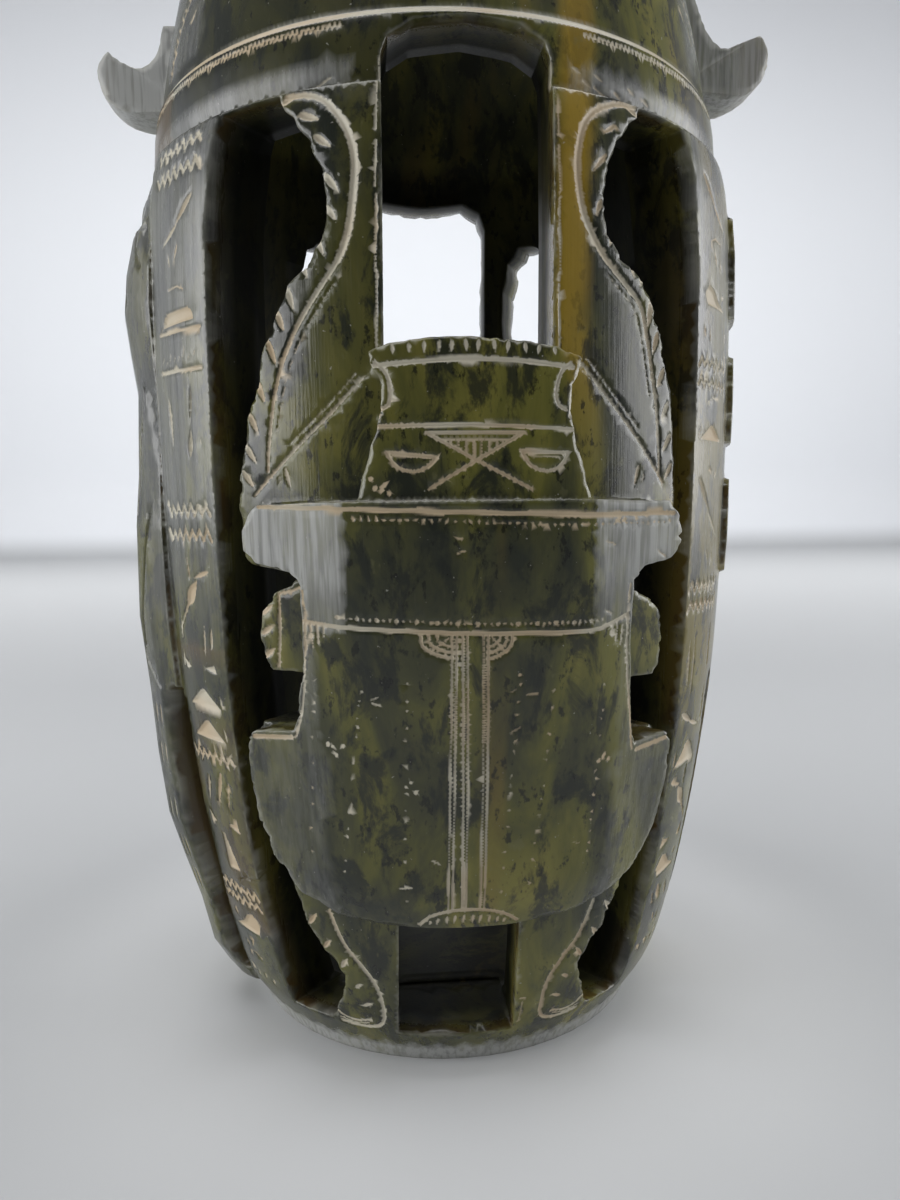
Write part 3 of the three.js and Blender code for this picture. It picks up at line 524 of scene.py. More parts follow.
def engrave_walls():
    rib_strokes(-1, LEFT_RIB)
    rib_strokes(1, RIGHT_RIB, 44.6, 58.8)
    # crack at a chipped step of the left rib
    W.stroke([(-43.0, 36.0), (-45.4, 35.2), (-48.4, 34.9), (-50.4, 34.2)], 0.5, 0.5, tone=0.0)
    # shoulder line and the thin toothed line under it
    ring = [(a, COLLAR_TOP + 0.05) for a in range(-95, 96, 5)]
    W.stroke(ring, 1.25, 0.3, tone=0.85)
    for a in np.arange(-78, 78, 0.72):
        if abs(a) > 19:
            W.stroke([(a, COLLAR_TOP - 1.25), (a + 0.34, COLLAR_TOP - 1.95)], 0.5, 0.2, tone=0.9)
    # palm-leaf line on the neck, beside the front
    leaf = spline([(-64.5, 183.6), (-63.4, 188.0), (-60.0, 193.0), (-55.0, 197.4), (-50.0, 200.6), (-45, 203)], 40)
    for side in (-1, 1):
        m = np.array([-side, 1.0])
        W.stroke(leaf * m, 0.7, 0.3, tone=0.8)
        for i in range(16):
            q, d = along(leaf, 0.04 + 0.92 * i / 15)
            W.leaf(q * m, (q + [-2.0, 1.5 + 0.4 * math.sin(3 * i)]) * m, 0.8, 0.3, 0.85)
            if i % 3 == 0:
                W.leaf(q * m, (q + [1.6, -0.7]) * m, 0.5, 0.2, 0.7)
        for k in range(4):
            W.leaf(np.array((-56 + 4 * k, 190 + 2.6 * k)) * m, np.array((-53.4 + 4 * k, 193 + 2.6 * k)) * m, 0.9, 0.25, 0.75)
    # folds and short strokes on the draped side panel
    for z0, z1, a0, a1 in ((150, 158, -70, -66), (145, 157, -76, -72), (104, 128, -68, -72), (78, 104, -66, -71), (70, 84, -76, -67)):
        W.stroke(spline([(a0, z1), ((a0 + a1) / 2 - 1.0, (z0 + z1) / 2), (a1, z0)], 20), 0.9, 0.5, tone=0.2)
    for z in (62, 54, 42, 34, 27):
        for d in (0, 2.0, 4.0):
            W.leaf((-68 - d, z + 5.0), (-68.2 - d, z - 1.0), 0.8, 0.3, 0.6)
    for i in range(15):
        W.leaf((-66 - 0.9 * i, 166.0 - 0.3 * i), (-66.6 - 0.9 * i, 163.2 - 0.5 * i), 0.7, 0.4, 0.5)
    # rear ribs and plate: dividers and a plain border only
    for side in (-1, 1):
        for z in (162, 158.5, 126, 122.5, 84, 80.5, 46, 42.5):
            pts = [(side * (45 + 14.6 * i / 12), z + (1.7 if i % 2 else 0)) for i in range(13)]
            rear_cut.stroke(pts, 0.75, 0.4)
        for z in (150, 138, 112, 98, 70, 58, 34, 24):
            rear_cut.leaf((side * 49.5, z + 4), (side * 49.9, z - 2), 1.3, 0.4)
            rear_cut.leaf((side * 54.0, z + 2.5), (side * 53.6, z - 3.2), 1.1, 0.4)
        rear_cut.stroke(spline([(side * 22.5, 176), (side * 21.5, 165), (side * 21.8, 152), (side * 24.6, 142), (side * 29, 130), (side * 31.5, 126)], 40), 0.9, 0.4)
    border = []
    for i in range(65):
        t = 2 * math.pi * i / 64
        c, s_ = math.cos(t), math.sin(t)
        border.append((27.5 * np.sign(c) * abs(c) ** 0.6, 81 + 38 * np.sign(s_) * abs(s_) ** 0.6))
    rear_cut.stroke(border, 0.9, 0.35)


engrave_scarab()
engrave_serpents()
engrave_walls()
scarab_cut.finish([(0.13, 0.34), (0.5, 0.68), (1.3, 1.35), (2.6, 2.2)])
wall_cut.finish([(0.15, 0.40), (0.5, 0.80), (1.5, 1.7), (2.8, 2.7)])
rear_cut.finish([(0.25, 0.85), (1.2, 1.9)])

# ---------------------------------------------------------------- mesh work
OUT, SCARAB, HEAD, DRAPE, BLOCK, PLATE, INSIDE, CUT, UNDER, LUG = range(10)


def load_cad(node):
    """Vertices in mm and triangles of a CAD node, welded."""
    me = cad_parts[node].data
    co = np.zeros(len(me.vertices) * 3)
    me.vertices.foreach_get("co", co)
    co = co.reshape(-1, 3) * 1000
    me.calc_loop_triangles()
    tri = np.zeros(len(me.loop_triangles) * 3, np.int32)
    me.loop_triangles.foreach_get("vertices", tri)
    tri = tri.reshape(-1, 3)
    key = np.round(co / 2e-4).astype(np.int64)
    _, first, inv = np.unique(key, axis=0, return_index=True, return_inverse=True)
    inv = inv.reshape(-1)
    tri = inv[tri]
    ok = (tri[:, 0] != tri[:, 1]) & (tri[:, 1] != tri[:, 2]) & (tri[:, 2] != tri[:, 0])
    return co[first], tri[ok]


def normals(v, f):
    n = np.cross(v[f[:, 1]] - v[f[:, 0]], v[f[:, 2]] - v[f[:, 0]])
    return n / np.maximum(np.linalg.norm(n, axis=1, keepdims=True), 1e-12)


def polar(v):
    return np.degrees(np.arctan2(v[:, 0], -v[:, 1])), np.hypot(v[:, 0], v[:, 1])


def classify(v, f):
    c = v[f].mean(1)
    n = normals(v, f)
    a, r = polar(c)
    z = c[:, 2]
    rad = np.stack([np.sin(a * DEG), -np.cos(a * DEG)], 1)
    out = (n[:, :2] * rad).sum(1)
    rise = r - outer_facet(z)
    kind = np.full(len(f), CUT)
    wall = (np.abs(rise) < 0.45) & (out > 0.12) & (r > 40)
    kind[wall] = OUT
    front = (out > 0.6) & (np.abs(a) < 38) & (z > 33) & (z < 130) & (rise > 1.7)
    kind[front] = np.where(z[front] > NECKLINE - 0.05, HEAD, SCARAB)
    left = (out > 0.5) & (a < -61.5) & (a > -87) & (z < 168) & (rise > -3.2) & ~wall
    kind[left] = DRAPE
    right = (out > 0.6) & (a > 62) & (a < 84) & (z > 90) & (z < 162) & (rise > 0.3)
    kind[right] = BLOCK
    back = (out > 0.6) & (np.abs(a) > 146) & (z > 36) & (z < 126) & (rise > 0.3)
    kind[back] = PLATE
    kind[(out < -0.35) & (r < 52)] = INSIDE
    kind[(z < 0.01)] = UNDER
    lug = (r > outer_facet(z) + 0.3) & (np.abs(v[f][:, :, 1]).max(1) < 7.2) & (z > LUG_LOW) & (z < LUG_HIGH)
    kind[lug] = LUG
    return kind


def edge_table(f):
    """Unique edges, the edge of each triangle corner (v0v1, v1v2, v2v0), and the triangles on each edge."""
    e = np.concatenate([f[:, [0, 1]], f[:, [1, 2]], f[:, [2, 0]]])
    lo, hi = e.min(1).astype(np.int64), e.max(1).astype(np.int64)
    key = lo * (int(f.max()) + 1) + hi
    uniq, first, inv = np.unique(key, return_index=True, return_inverse=True)
    inv = inv.reshape(-1)
    n = len(f)
    te = np.stack([inv[:n], inv[n:2 * n], inv[2 * n:]], 1)
    owner = np.concatenate([np.arange(n)] * 3)
    order = np.argsort(inv, kind="stable")
    start = np.searchsorted(inv[order], np.arange(len(uniq)))
    count = np.bincount(inv, minlength=len(uniq))
    pair = np.full((len(uniq), 2), -1)
    pair[:, 0] = owner[order[start]]
    two = count > 1
    pair[two, 1] = owner[order[start[two] + 1]]
    return np.stack([lo[first], hi[first]], 1), te, pair


def split(v, f, kind, want):
    """One pass: halves every edge longer than 1.35 times the wanted length."""
    e, te, pair = edge_table(f)
    mid = 0.5 * (v[e[:, 0]] + v[e[:, 1]])
    length = np.linalg.norm(v[e[:, 0]] - v[e[:, 1]], axis=1)
    ek = np.minimum(kind[pair[:, 0]], np.where(pair[:, 1] < 0, 99, kind[pair[:, 1]]))
    mark = length > 1.35 * want(mid, ek, v[e[:, 0]], v[e[:, 1]])
    if not mark.any():
        return v, f, kind, 0
    new = np.full(len(e), -1)
    new[mark] = len(v) + np.arange(mark.sum())
    v2 = np.vstack([v, mid[mark]])
    m = mark[te]
    n = m.sum(1)
    keep_f, keep_k = [f[n == 0]], [kind[n == 0]]
    # rotate so that the marked edges come first
    for count in (1, 2, 3):
        sel = np.nonzero(n == count)[0]
        if not len(sel):
            continue
        ff, mm, tt = f[sel], m[sel], te[sel]
        if count == 1:
            s = mm.argmax(1)
        elif count == 2:
            s = ((~mm).argmax(1) + 1) % 3
        else:
            s = np.zeros(len(sel), int)
        i = np.arange(len(sel))
        a, b, c = ff[i, s], ff[i, (s + 1) % 3], ff[i, (s + 2) % 3]
        p, q, r = new[tt[i, s]], new[tt[i, (s + 1) % 3]], new[tt[i, (s + 2) % 3]]
        if count == 1:
            out = [np.stack([a, p, c], 1), np.stack([p, b, c], 1)]
        elif count == 2:
            d1 = np.linalg.norm(v2[a] - v2[q], axis=1)
            d2 = np.linalg.norm(v2[p] - v2[c], axis=1)
            t1 = np.where((d1 < d2)[:, None], np.stack([a, p, q], 1), np.stack([a, p, c], 1))
            t2 = np.where((d1 < d2)[:, None], np.stack([a, q, c], 1), np.stack([p, q, c], 1))
            out = [np.stack([p, b, q], 1), t1, t2]
        else:
            out = [np.stack([a, p, r], 1), np.stack([p, b, q], 1), np.stack([r, q, c], 1), np.stack([p, q, r], 1)]
        for t in out:
            keep_f.append(t)
            keep_k.append(kind[sel])
    return v2, np.concatenate(keep_f), np.concatenate(keep_k), int(mark.sum())


def flip(v, f, kind, rounds=2, flat=0.985):
    """Delaunay-like flips inside nearly flat neighbourhoods of one kind."""
    f = f.copy()
    for _ in range(rounds):
        e, te, pair = edge_table(f)
        n = normals(v, f)
        ok = pair[:, 1] >= 0
        t0, t1 = pair[:, 0], np.where(ok, pair[:, 1], 0)
        ok &= (n[t0] * n[t1]).sum(1) > flat
        ok &= kind[t0] == kind[t1]
        ids = np.nonzero(ok)[0]
        a, b = e[ids, 0], e[ids, 1]
        c = f[t0[ids]].sum(1) - a - b
        d = f[t1[ids]].sum(1) - a - b

        def angle(p, q, r):
            u, w = v[q] - v[p], v[r] - v[p]
            return np.arccos(np.clip((u * w).sum(1) / np.maximum(np.linalg.norm(u, axis=1) * np.linalg.norm(w, axis=1), 1e-12), -1, 1))
        gain = angle(c, a, b) + angle(d, a, b) - math.pi
        good = gain > 0.03
        ids, a, b, c, d, gain = ids[good], a[good], b[good], c[good], d[good], gain[good]
        if not len(ids):
            break
        # orientation: triangle t0 holds a->b or b->a
        g0 = f[t0[ids]]
        fwd = ((g0 == a[:, None]) & (np.roll(g0, -1, 1) == b[:, None])).any(1)
        a2, b2 = np.where(fwd, a, b), np.where(fwd, b, a)
        n1 = np.stack([a2, d, c], 1)
        n2 = np.stack([d, b2, c], 1)
        nn = n[t0[ids]]
        x1 = (np.cross(v[n1[:, 1]] - v[n1[:, 0]], v[n1[:, 2]] - v[n1[:, 0]]) * nn).sum(1)
        x2 = (np.cross(v[n2[:, 1]] - v[n2[:, 0]], v[n2[:, 2]] - v[n2[:, 0]]) * nn).sum(1)
        legal = (x1 > 1e-7) & (x2 > 1e-7)
        ids, n1, n2, gain = ids[legal], n1[legal], n2[legal], gain[legal]
        best = np.full(len(f), -1.0)
        np.maximum.at(best, t0[ids], gain)
        np.maximum.at(best, t1[ids], gain)
        win = (gain >= best[t0[ids]]) & (gain >= best[t1[ids]])
        ids, n1, n2 = ids[win], n1[win], n2[win]
        used, first = np.unique(np.concatenate([t0[ids], t1[ids]]), return_index=True)
        # drop any pair that shares a triangle with another winner
        cnt = np.bincount(np.concatenate([t0[ids], t1[ids]]), minlength=len(f))
        solo = (cnt[t0[ids]] == 1) & (cnt[t1[ids]] == 1)
        ids, n1, n2 = ids[solo], n1[solo], n2[solo]
        # no flip may make an edge that is already there
        have = set()
        top = len(v)
        exist = np.sort(e[:, 0].astype(np.int64) * top + e[:, 1])
        cc, dd = n1[:, 2], n1[:, 1]
        k = np.minimum(cc, dd).astype(np.int64) * top + np.maximum(cc, dd)
        pos = np.clip(np.searchsorted(exist, k), 0, len(exist) - 1)
        free = exist[pos] != k
        _, one = np.unique(k, return_index=True)
        single = np.zeros(len(k), bool)
        single[one] = True
        ids, n1, n2 = ids[free & single], n1[free & single], n2[free & single]
        f[t0[ids]] = n1
        f[t1[ids]] = n2
    return f


def sharp_lines(v, f, limit=math.cos(32 * DEG)):
    """Points spaced along the sharp edges, with 1 for outward corners and 0 for inward ones."""
    e, te, pair = edge_table(f)
    n = normals(v, f)
    ok = pair[:, 1] >= 0
    t0, t1 = pair[:, 0], np.where(ok, pair[:, 1], 0)
    dot = (n[t0] * n[t1]).sum(1)
    ok &= dot < limit
    ids = np.nonzero(ok)[0]
    a, b = v[e[ids, 0]], v[e[ids, 1]]
    far = f[t1[ids]].sum(1) - e[ids, 0] - e[ids, 1]
    convex = ((v[far] - a) * n[t0[ids]]).sum(1) < 0
    return a, b, convex


cad_v, cad_f = load_cad("vase")
cad_kind = classify(cad_v, cad_f)
ea, eb, convex = sharp_lines(cad_v, cad_f)
pts, flags = [], []
for p, q, cv in zip(ea, eb, convex):
    m = max(2, int(np.linalg.norm(p - q) / 0.6) + 1)
    for t in np.linspace(0, 1, m):
        pts.append(p + (q - p) * t)
        flags.append(cv)
pts, flags = np.array(pts), np.array(flags)
edge_r = np.hypot(pts[:, 0], pts[:, 1])
outside = edge_r > outer_facet(pts[:, 2]) - 1.5
showing = outside & (np.abs(polar(pts)[0]) < 92)


def tree(points):
    t = KDTree(len(points))
    for i, p in enumerate(points):
        t.insert(p, i)
    t.balance()
    return t


near_out = tree(pts[outside])
near_in = tree(pts[~outside])


def dist_to(t, p, cap=4.0):
    out = np.empty(len(p))
    find = t.find
    for i, q in enumerate(p):
        out[i] = find(q)[2]
    return out


BASE = {OUT: 3.6, SCARAB: 2.6, HEAD: 2.2, DRAPE: 2.4, BLOCK: 2.4, PLATE: 3.4, INSIDE: 5.5, CUT: 4.0, UNDER: 9.0, LUG: 1.7}
base_size = np.array([BASE[k] for k in range(10)] + [3.6] * 90)


def want(mid, k, p, q):
    a, r = polar(mid)
    z = mid[:, 2]
    h = base_size[k].copy()
    front = np.abs(a) < 95
    wall = (k == OUT) | (k == DRAPE) | (k == BLOCK)
    sc = (k == SCARAB) | (k == HEAD)
    sw = wall & front
    h[sw] = np.minimum(h[sw], wall_cut.sample(wall_cut.size, a[sw], z[sw], 99))
    sb = (wall | (k == PLATE)) & ~front
    ab = np.where(a > 0, 180 - a, -180 - a)
    h[sb] = np.minimum(h[sb], rear_cut.sample(rear_cut.size, ab[sb], z[sb], 99))
    h[sc] = np.minimum(h[sc], scarab_cut.sample(scarab_cut.size, a[sc], z[sc], 99))
    # near sharp edges only where the present length could still be too long
    length = np.linalg.norm(p - q, axis=1)
    ask = (length > 0.8) & (length < 30) & (h > 0.75)
    idx = np.nonzero(ask)[0]
    if len(idx):
        d = dist_to(near_out, mid[idx])
        skin = (k[idx] != CUT) & (k[idx] != INSIDE) & (k[idx] != UNDER)
        fine = np.where(np.abs(a[idx]) < 66, np.where(skin, 0.66, 0.9), np.where(np.abs(a[idx]) < 92, 1.05, 2.1))
        h[idx] = np.minimum(h[idx], fine + np.where(skin, 0.8, 1.3) * np.maximum(0, d - 0.25))
        idx2 = idx[length[idx] > 2.8]
        if len(idx2):
            d2 = dist_to(near_in, mid[idx2])
            h[idx2] = np.minimum(h[idx2], 2.9 + 1.2 * np.maximum(0, d2 - 0.6))
    return h


v, f, kind = cad_v, cad_f, cad_kind
f = flip(v, f, kind, 3, 0.9995)
for step in range(14):
    v, f, kind, done = split(v, f, kind, want)
    f = flip(v, f, kind, 3, 0.997 if step < 4 else 0.985)
    if done < 40:
        break

# ---------------------------------------------------------------- final form
top = len(v)
has = np.zeros((10, top), bool)
for k in range(10):
    has[k, f[kind == k].reshape(-1)] = True
a, r = polar(v)
z = v[:, 2]
goal = r.copy()
smooth_out = has[OUT] & (z > 0.05)
goal[smooth_out] = outer(z[smooth_out])
m = has[SCARAB]
goal[m] = scarab_front(a[m], z[m])
m = has[HEAD]
goal[m] = head_front(a[m], z[m])
both = has[SCARAB] & has[HEAD]
goal[both] = r[both]
m = has[DRAPE] | has[BLOCK]
goal[m] = r[m]

wob = value_noise(v, 17.0, 3) * 0.10 + value_noise(v, 6.0, 5) * 0.035 - 0.12
surface = has[OUT] | has[SCARAB] | has[HEAD]
goal = goal + np.where(surface & (z > 0.3) & (z < HEIGHT - 0.3), wob, 0)

cut = np.zeros(top)
pale = np.zeros(top)
front = np.abs(a) < 95
m = (has[OUT] | has[DRAPE] | has[BLOCK]) & front & ~has[SCARAB] & ~has[HEAD]
cut[m] = wall_cut.sample(wall_cut.depth, a[m], z[m])
pale[m] = wall_cut.sample(wall_cut.pale, a[m], z[m])
m = (has[OUT] | has[PLATE]) & ~front
ab = np.where(a > 0, 180 - a, -180 - a)
cut[m] = rear_cut.sample(rear_cut.depth, ab[m], z[m])
pale[m] = rear_cut.sample(rear_cut.pale, ab[m], z[m])
m = has[SCARAB] | has[HEAD]
cut[m] = scarab_cut.sample(scarab_cut.depth, a[m], z[m])
pale[m] = scarab_cut.sample(scarab_cut.pale, a[m], z[m])
goal -= cut
scale = goal / np.maximum(r, 1e-6)
scale[r < 1] = 1
v = v * np.stack([scale, scale, np.ones(top)], 1)

# worn edges: outward corners are taken back a little, unevenly, and turn pale
d_out = dist_to(near_out, v)
soft = np.clip(1 - d_out / 0.55, 0, 1)
e, te, pair = edge_table(f)
mean = np.zeros_like(v)
count = np.zeros(top)
for i, j in ((0, 1), (1, 0)):
    np.add.at(mean, e[:, i], v[e[:, j]])
    np.add.at(count, e[:, i], 1)
mean /= np.maximum(count, 1)[:, None]
chipping = 0.55 + 0.45 * value_noise(v, 3.1, 8)
move = (soft * np.clip(chipping, 0.15, 1) * 0.75)[:, None]
hold = (z < 0.02)
move[hold] = 0
v = v + (mean - v) * move
lo, hi = np.array(cad_box[0]) * 1000, np.array(cad_box[1]) * 1000
v = np.clip(v, lo, hi)
wear = np.clip(1.1 - d_out / 0.45, 0, 1) * np.clip(0.5 + 0.6 * value_noise(v, 5.0, 21) + 0.5 * value_noise(v, 1.6, 4), 0, 1)
wear[has[INSIDE]] *= 0.3


def ease(x, lo_, hi_):
    t = np.clip((x - lo_) / (hi_ - lo_), 0, 1)
    return t * t * (3 - 2 * t)


# scuffed stone and painted sheen: scuffs on the foot bevel and lugs; painted sheen on the scarab's side facets
# (stronger on the left beside its middle), rib faces, the band under the collar, the draped panel and the neck beside
# the lugs
aa, slow = np.abs(a), value_noise(v * [1, 1, 0.35], 7.0, 31)
scuff_and_sheen = np.zeros(top)
skin = has[OUT] | has[SCARAB] | has[HEAD] | has[DRAPE] | has[BLOCK] | has[PLATE]
scuff_and_sheen = np.maximum(scuff_and_sheen, np.where(z < BASE_BEVEL + 0.2, 1.35, 0) * (has[OUT] | has[CUT]))
thorax = has[SCARAB] & (z > 85) & (aa > FACET - 1)
scuff_and_sheen = np.maximum(scuff_and_sheen, np.where(thorax, (1.15 - 0.22 * (a > 0)) * (0.5 + 0.5 * ease(z, 88, 95)), 0))
scuff_and_sheen = np.maximum(scuff_and_sheen, np.where(has[SCARAB] & (z <= 85) & (aa > FACET + 4), 0.22 + 0.14 * slow, 0))
rib = has[OUT] & (aa > RIB_IN - 2.5) & (aa < RIB_OUT + 2.5) & (z > 4) & (z < COLLAR_LOW - 1)
scuff_and_sheen = np.maximum(scuff_and_sheen, np.where(rib, (0.38 + 0.2 * slow) * (0.06 + 0.94 * ease(z, 72, 112)), 0))
scuff_and_sheen = np.maximum(scuff_and_sheen, np.where(has[OUT] & (z > COLLAR_LOW + 0.2) & (z < COLLAR_LOW + 3.4) & (aa > 17) & (aa < 66), 0.5 + 0.3 * slow, 0))
scuff_and_sheen = np.maximum(scuff_and_sheen, np.where(has[LUG], np.where(a < 0, 1.5, 0.85), 0))
scuff_and_sheen = np.maximum(scuff_and_sheen, np.where(has[DRAPE], 0.12 + 0.2 * slow, 0))
scuff_and_sheen = np.maximum(scuff_and_sheen, np.where(has[OUT] & (z > COLLAR_TOP + 3) & (aa > 50) & (aa < 66), 0.25, 0))
# deep cuts: how far behind the outer skin, for the painted shade in the cuts and the hollow inside
behind = np.maximum(0, outer_facet(z) - r)
deep = np.where(skin | has[LUG], 0, ease(behind, 1.2, 8.0))
deep = np.where(has[INSIDE], 1.0, deep)
deep = np.where(z > COLLAR_TOP + 12, deep * 0.4, deep)
# brown rind on the first few millimetres of the cut walls
rind = np.where(skin | has[INSIDE] | has[LUG] | has[UNDER], 0, 1 - ease(behind, 1.5, 4.5)) * np.clip(0.55 + 0.5 * value_noise(v, 14.0, 41), 0, 1)
rind = np.maximum(rind, np.where(has[OUT] & (z > COLLAR_LOW) & (z < COLLAR_TOP) & (a < -58) & (a > -80), 0.7, 0))
rind = np.maximum(rind, np.where(rib & (a < 0) & (z > 24) & (z < 80), 0.55 * np.clip(0.3 + value_noise(v, 9.0, 47), 0, 1), 0))
rind = np.maximum(rind, np.where(has[LUG] & (r > 64), 0.5 * ease(r, 64, 69), 0))

# ---------------------------------------------------------------- object
me = bpy.data.meshes.new("vase_carved")
me.vertices.add(len(v))
me.vertices.foreach_set("co", (v / 1000).astype(np.float32).reshape(-1))
me.loops.add(len(f) * 3)
me.loops.foreach_set("vertex_index", f.astype(np.int32).reshape(-1))
me.polygons.add(len(f))
me.polygons.foreach_set("loop_start", np.arange(0, len(f) * 3, 3, dtype=np.int32))
me.polygons.foreach_set("use_smooth", np.ones(len(f), bool))
me.update(calc_edges=True)
me.validate()
for name, data in (("pale", pale), ("wear", wear), ("scuff_and_sheen", scuff_and_sheen), ("deep", deep), ("rind", rind)):
    at = me.attributes.new(name, "FLOAT", "POINT")
    at.data.foreach_set("value", data.astype(np.float32))
vase = bpy.data.objects.new("vase_carved", me)
bpy.context.scene.collection.objects.link(vase)
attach(vase, "root")
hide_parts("vase")


# ---------------------------------------------------------------- materials
def nodes_of(mat):
    mat.use_nodes = True
    nt = mat.node_tree
    nt.nodes.clear()
    return nt


def add(nt, kind_name, **sets):
    n = nt.nodes.new(kind_name)
    for k, val in sets.items():
        if k.startswith("in_"):
            n.inputs[int(k[3:])].default_value = val
        else:
            setattr(n, k, val)
    return n


def serpentine():
    mat = bpy.data.materials.new("serpentine")
    nt = nodes_of(mat)
    L = nt.links.new
    out = add(nt, "ShaderNodeOutputMaterial")
    bsdf = add(nt, "ShaderNodeBsdfPrincipled")
    L(bsdf.outputs[0], out.inputs[0])
    tc = add(nt, "ShaderNodeTexCoord")

    def mapped(scale):
        mp = add(nt, "ShaderNodeMapping")
        mp.inputs["Scale"].default_value = scale
        L(tc.outputs["Object"], mp.inputs["Vector"])
        return mp.outputs["Vector"]

    def noise(scale, stretch=(1, 1, 1), detail=3.0, rough=0.55, distort=0.0):
        n = add(nt, "ShaderNodeTexNoise")
        n.inputs["Scale"].default_value = scale
        n.inputs["Detail"].default_value = detail
        n.inputs["Roughness"].default_value = rough
        n.inputs["Distortion"].default_value = distort
        L(mapped(stretch), n.inputs["Vector"])
        return n.outputs["Fac"]

    def ramp(fac, stops):
        r_ = add(nt, "ShaderNodeValToRGB")
        els = r_.color_ramp.elements
        while len(els) < len(stops):
            els.new(0.5)
        for el, (pos, col) in zip(els, stops):
            el.position = pos
            el.color = col if len(col) == 4 else (*col, 1)
        L(fac, r_.inputs["Fac"])
        return r_.outputs["Color"]

    def grey(fac, lo, hi):
        return ramp(fac, [(lo, (0, 0, 0)), (hi, (1, 1, 1))])

    def mix(fac, a_, b_, blend="MIX"):
        n = add(nt, "ShaderNodeMix", data_type="RGBA", blend_type=blend)
        if isinstance(fac, (int, float)):
            n.inputs[0].default_value = fac
        else:
            L(fac, n.inputs[0])
        for sock, val in ((n.inputs[6], a_), (n.inputs[7], b_)):
            if isinstance(val, tuple):
                sock.default_value = (*val, 1)
            else:
                L(val, sock)
        return n.outputs[2]

    def math_(op, a_, b_=0.0):
        n = add(nt, "ShaderNodeMath", operation=op)
        for sock, val in ((n.inputs[0], a_), (n.inputs[1], b_)):
            if isinstance(val, (int, float)):
                sock.default_value = val
            else:
                L(val, sock)
        return n.outputs[0]

    def attribute(name):
        return add(nt, "ShaderNodeAttribute", attribute_type="GEOMETRY", attribute_name=name).outputs["Fac"]

    def ease_(x, lo_, hi_, a_=0.0, b_=1.0):
        n = add(nt, "ShaderNodeMapRange", interpolation_type="SMOOTHSTEP")
        for name, val in (("From Min", lo_), ("From Max", hi_), ("To Min", a_), ("To Max", b_)):
            n.inputs[name].default_value = val
        L(x, n.inputs["Value"])
        return n.outputs[0]

    sep = add(nt, "ShaderNodeSeparateXYZ")
    L(tc.outputs["Object"], sep.inputs[0])
    X, Y, Z = sep.outputs

    # ground colour: dark grey-green to olive, in patches drawn out along the block
    base = ramp(noise(62, (1, 1, 0.42), 5, 0.6, 0.5), [(0.33, (0.026, 0.030, 0.020)), (0.45, (0.062, 0.064, 0.026)), (0.55, (0.116, 0.114, 0.028)), (0.70, (0.205, 0.186, 0.042))])
    # yellow sheet that crosses the block right of the middle, and a weaker one on the left
    drift = math_("MULTIPLY", math_("SUBTRACT", noise(18, (1, 1, 1), 2, 0.5), 0.5), 0.008)
    centre = math_("ADD", math_("MULTIPLY", math_("MAXIMUM", math_("SUBTRACT", 0.130, Z), 0.0), 0.115), 0.0175)
    off = math_("ABSOLUTE", math_("SUBTRACT", math_("SUBTRACT", X, centre), drift))
    sheet = math_("MULTIPLY", ease_(off, 0.0010, 0.0042, 1.0, 0.0), ease_(Y, -0.044, -0.036, 1.0, 0.0))
    patchy = ease_(noise(48, (1, 1, 0.3), 4, 0.6), 0.36, 0.56, 0.25, 1.0)
    patchy = math_("MAXIMUM", patchy, ease_(Z, 0.124, 0.142))
    amber = mix(ease_(Z, 0.100, 0.140), (0.170, 0.165, 0.040), (0.300, 0.200, 0.028))
    base = mix(math_("MULTIPLY", math_("MULTIPLY", sheet, patchy), 0.92), base, amber)
    off2 = math_("ABSOLUTE", math_("SUBTRACT", math_("ADD", X, 0.0165), drift))
    sheet2 = math_("MULTIPLY", ease_(off2, 0.0008, 0.0040, 1.0, 0.0), ease_(Y, -0.044, -0.036, 1.0, 0.0))
    base = mix(math_("MULTIPLY", math_("MULTIPLY", sheet2, math_("MULTIPLY", patchy, ease_(Z, 0.100, 0.130))), 0.35), base, (0.150, 0.138, 0.034))
    vein = ease_(noise(30, (1, 1, 0.14), 3, 0.5, 0.5), 0.61, 0.69)
    base = mix(math_("MULTIPLY", vein, 0.6), base, (0.200, 0.145, 0.030))
    # painted shade: the block is darker up on the left
    painted_shade_left = math_("MULTIPLY", ease_(X, -0.012, 0.006, 1.0, 0.0), ease_(Z, 0.100, 0.150, 0.25, 1.0))
    painted_shade_left = math_("MULTIPLY", painted_shade_left, ease_(Y, -0.014, 0.006, 1.0, 0.3))
    base = mix(math_("MULTIPLY", painted_shade_left, ease_(Z, 0.160, 0.176, 0.56, 0.80)), base, (0.020, 0.022, 0.014))
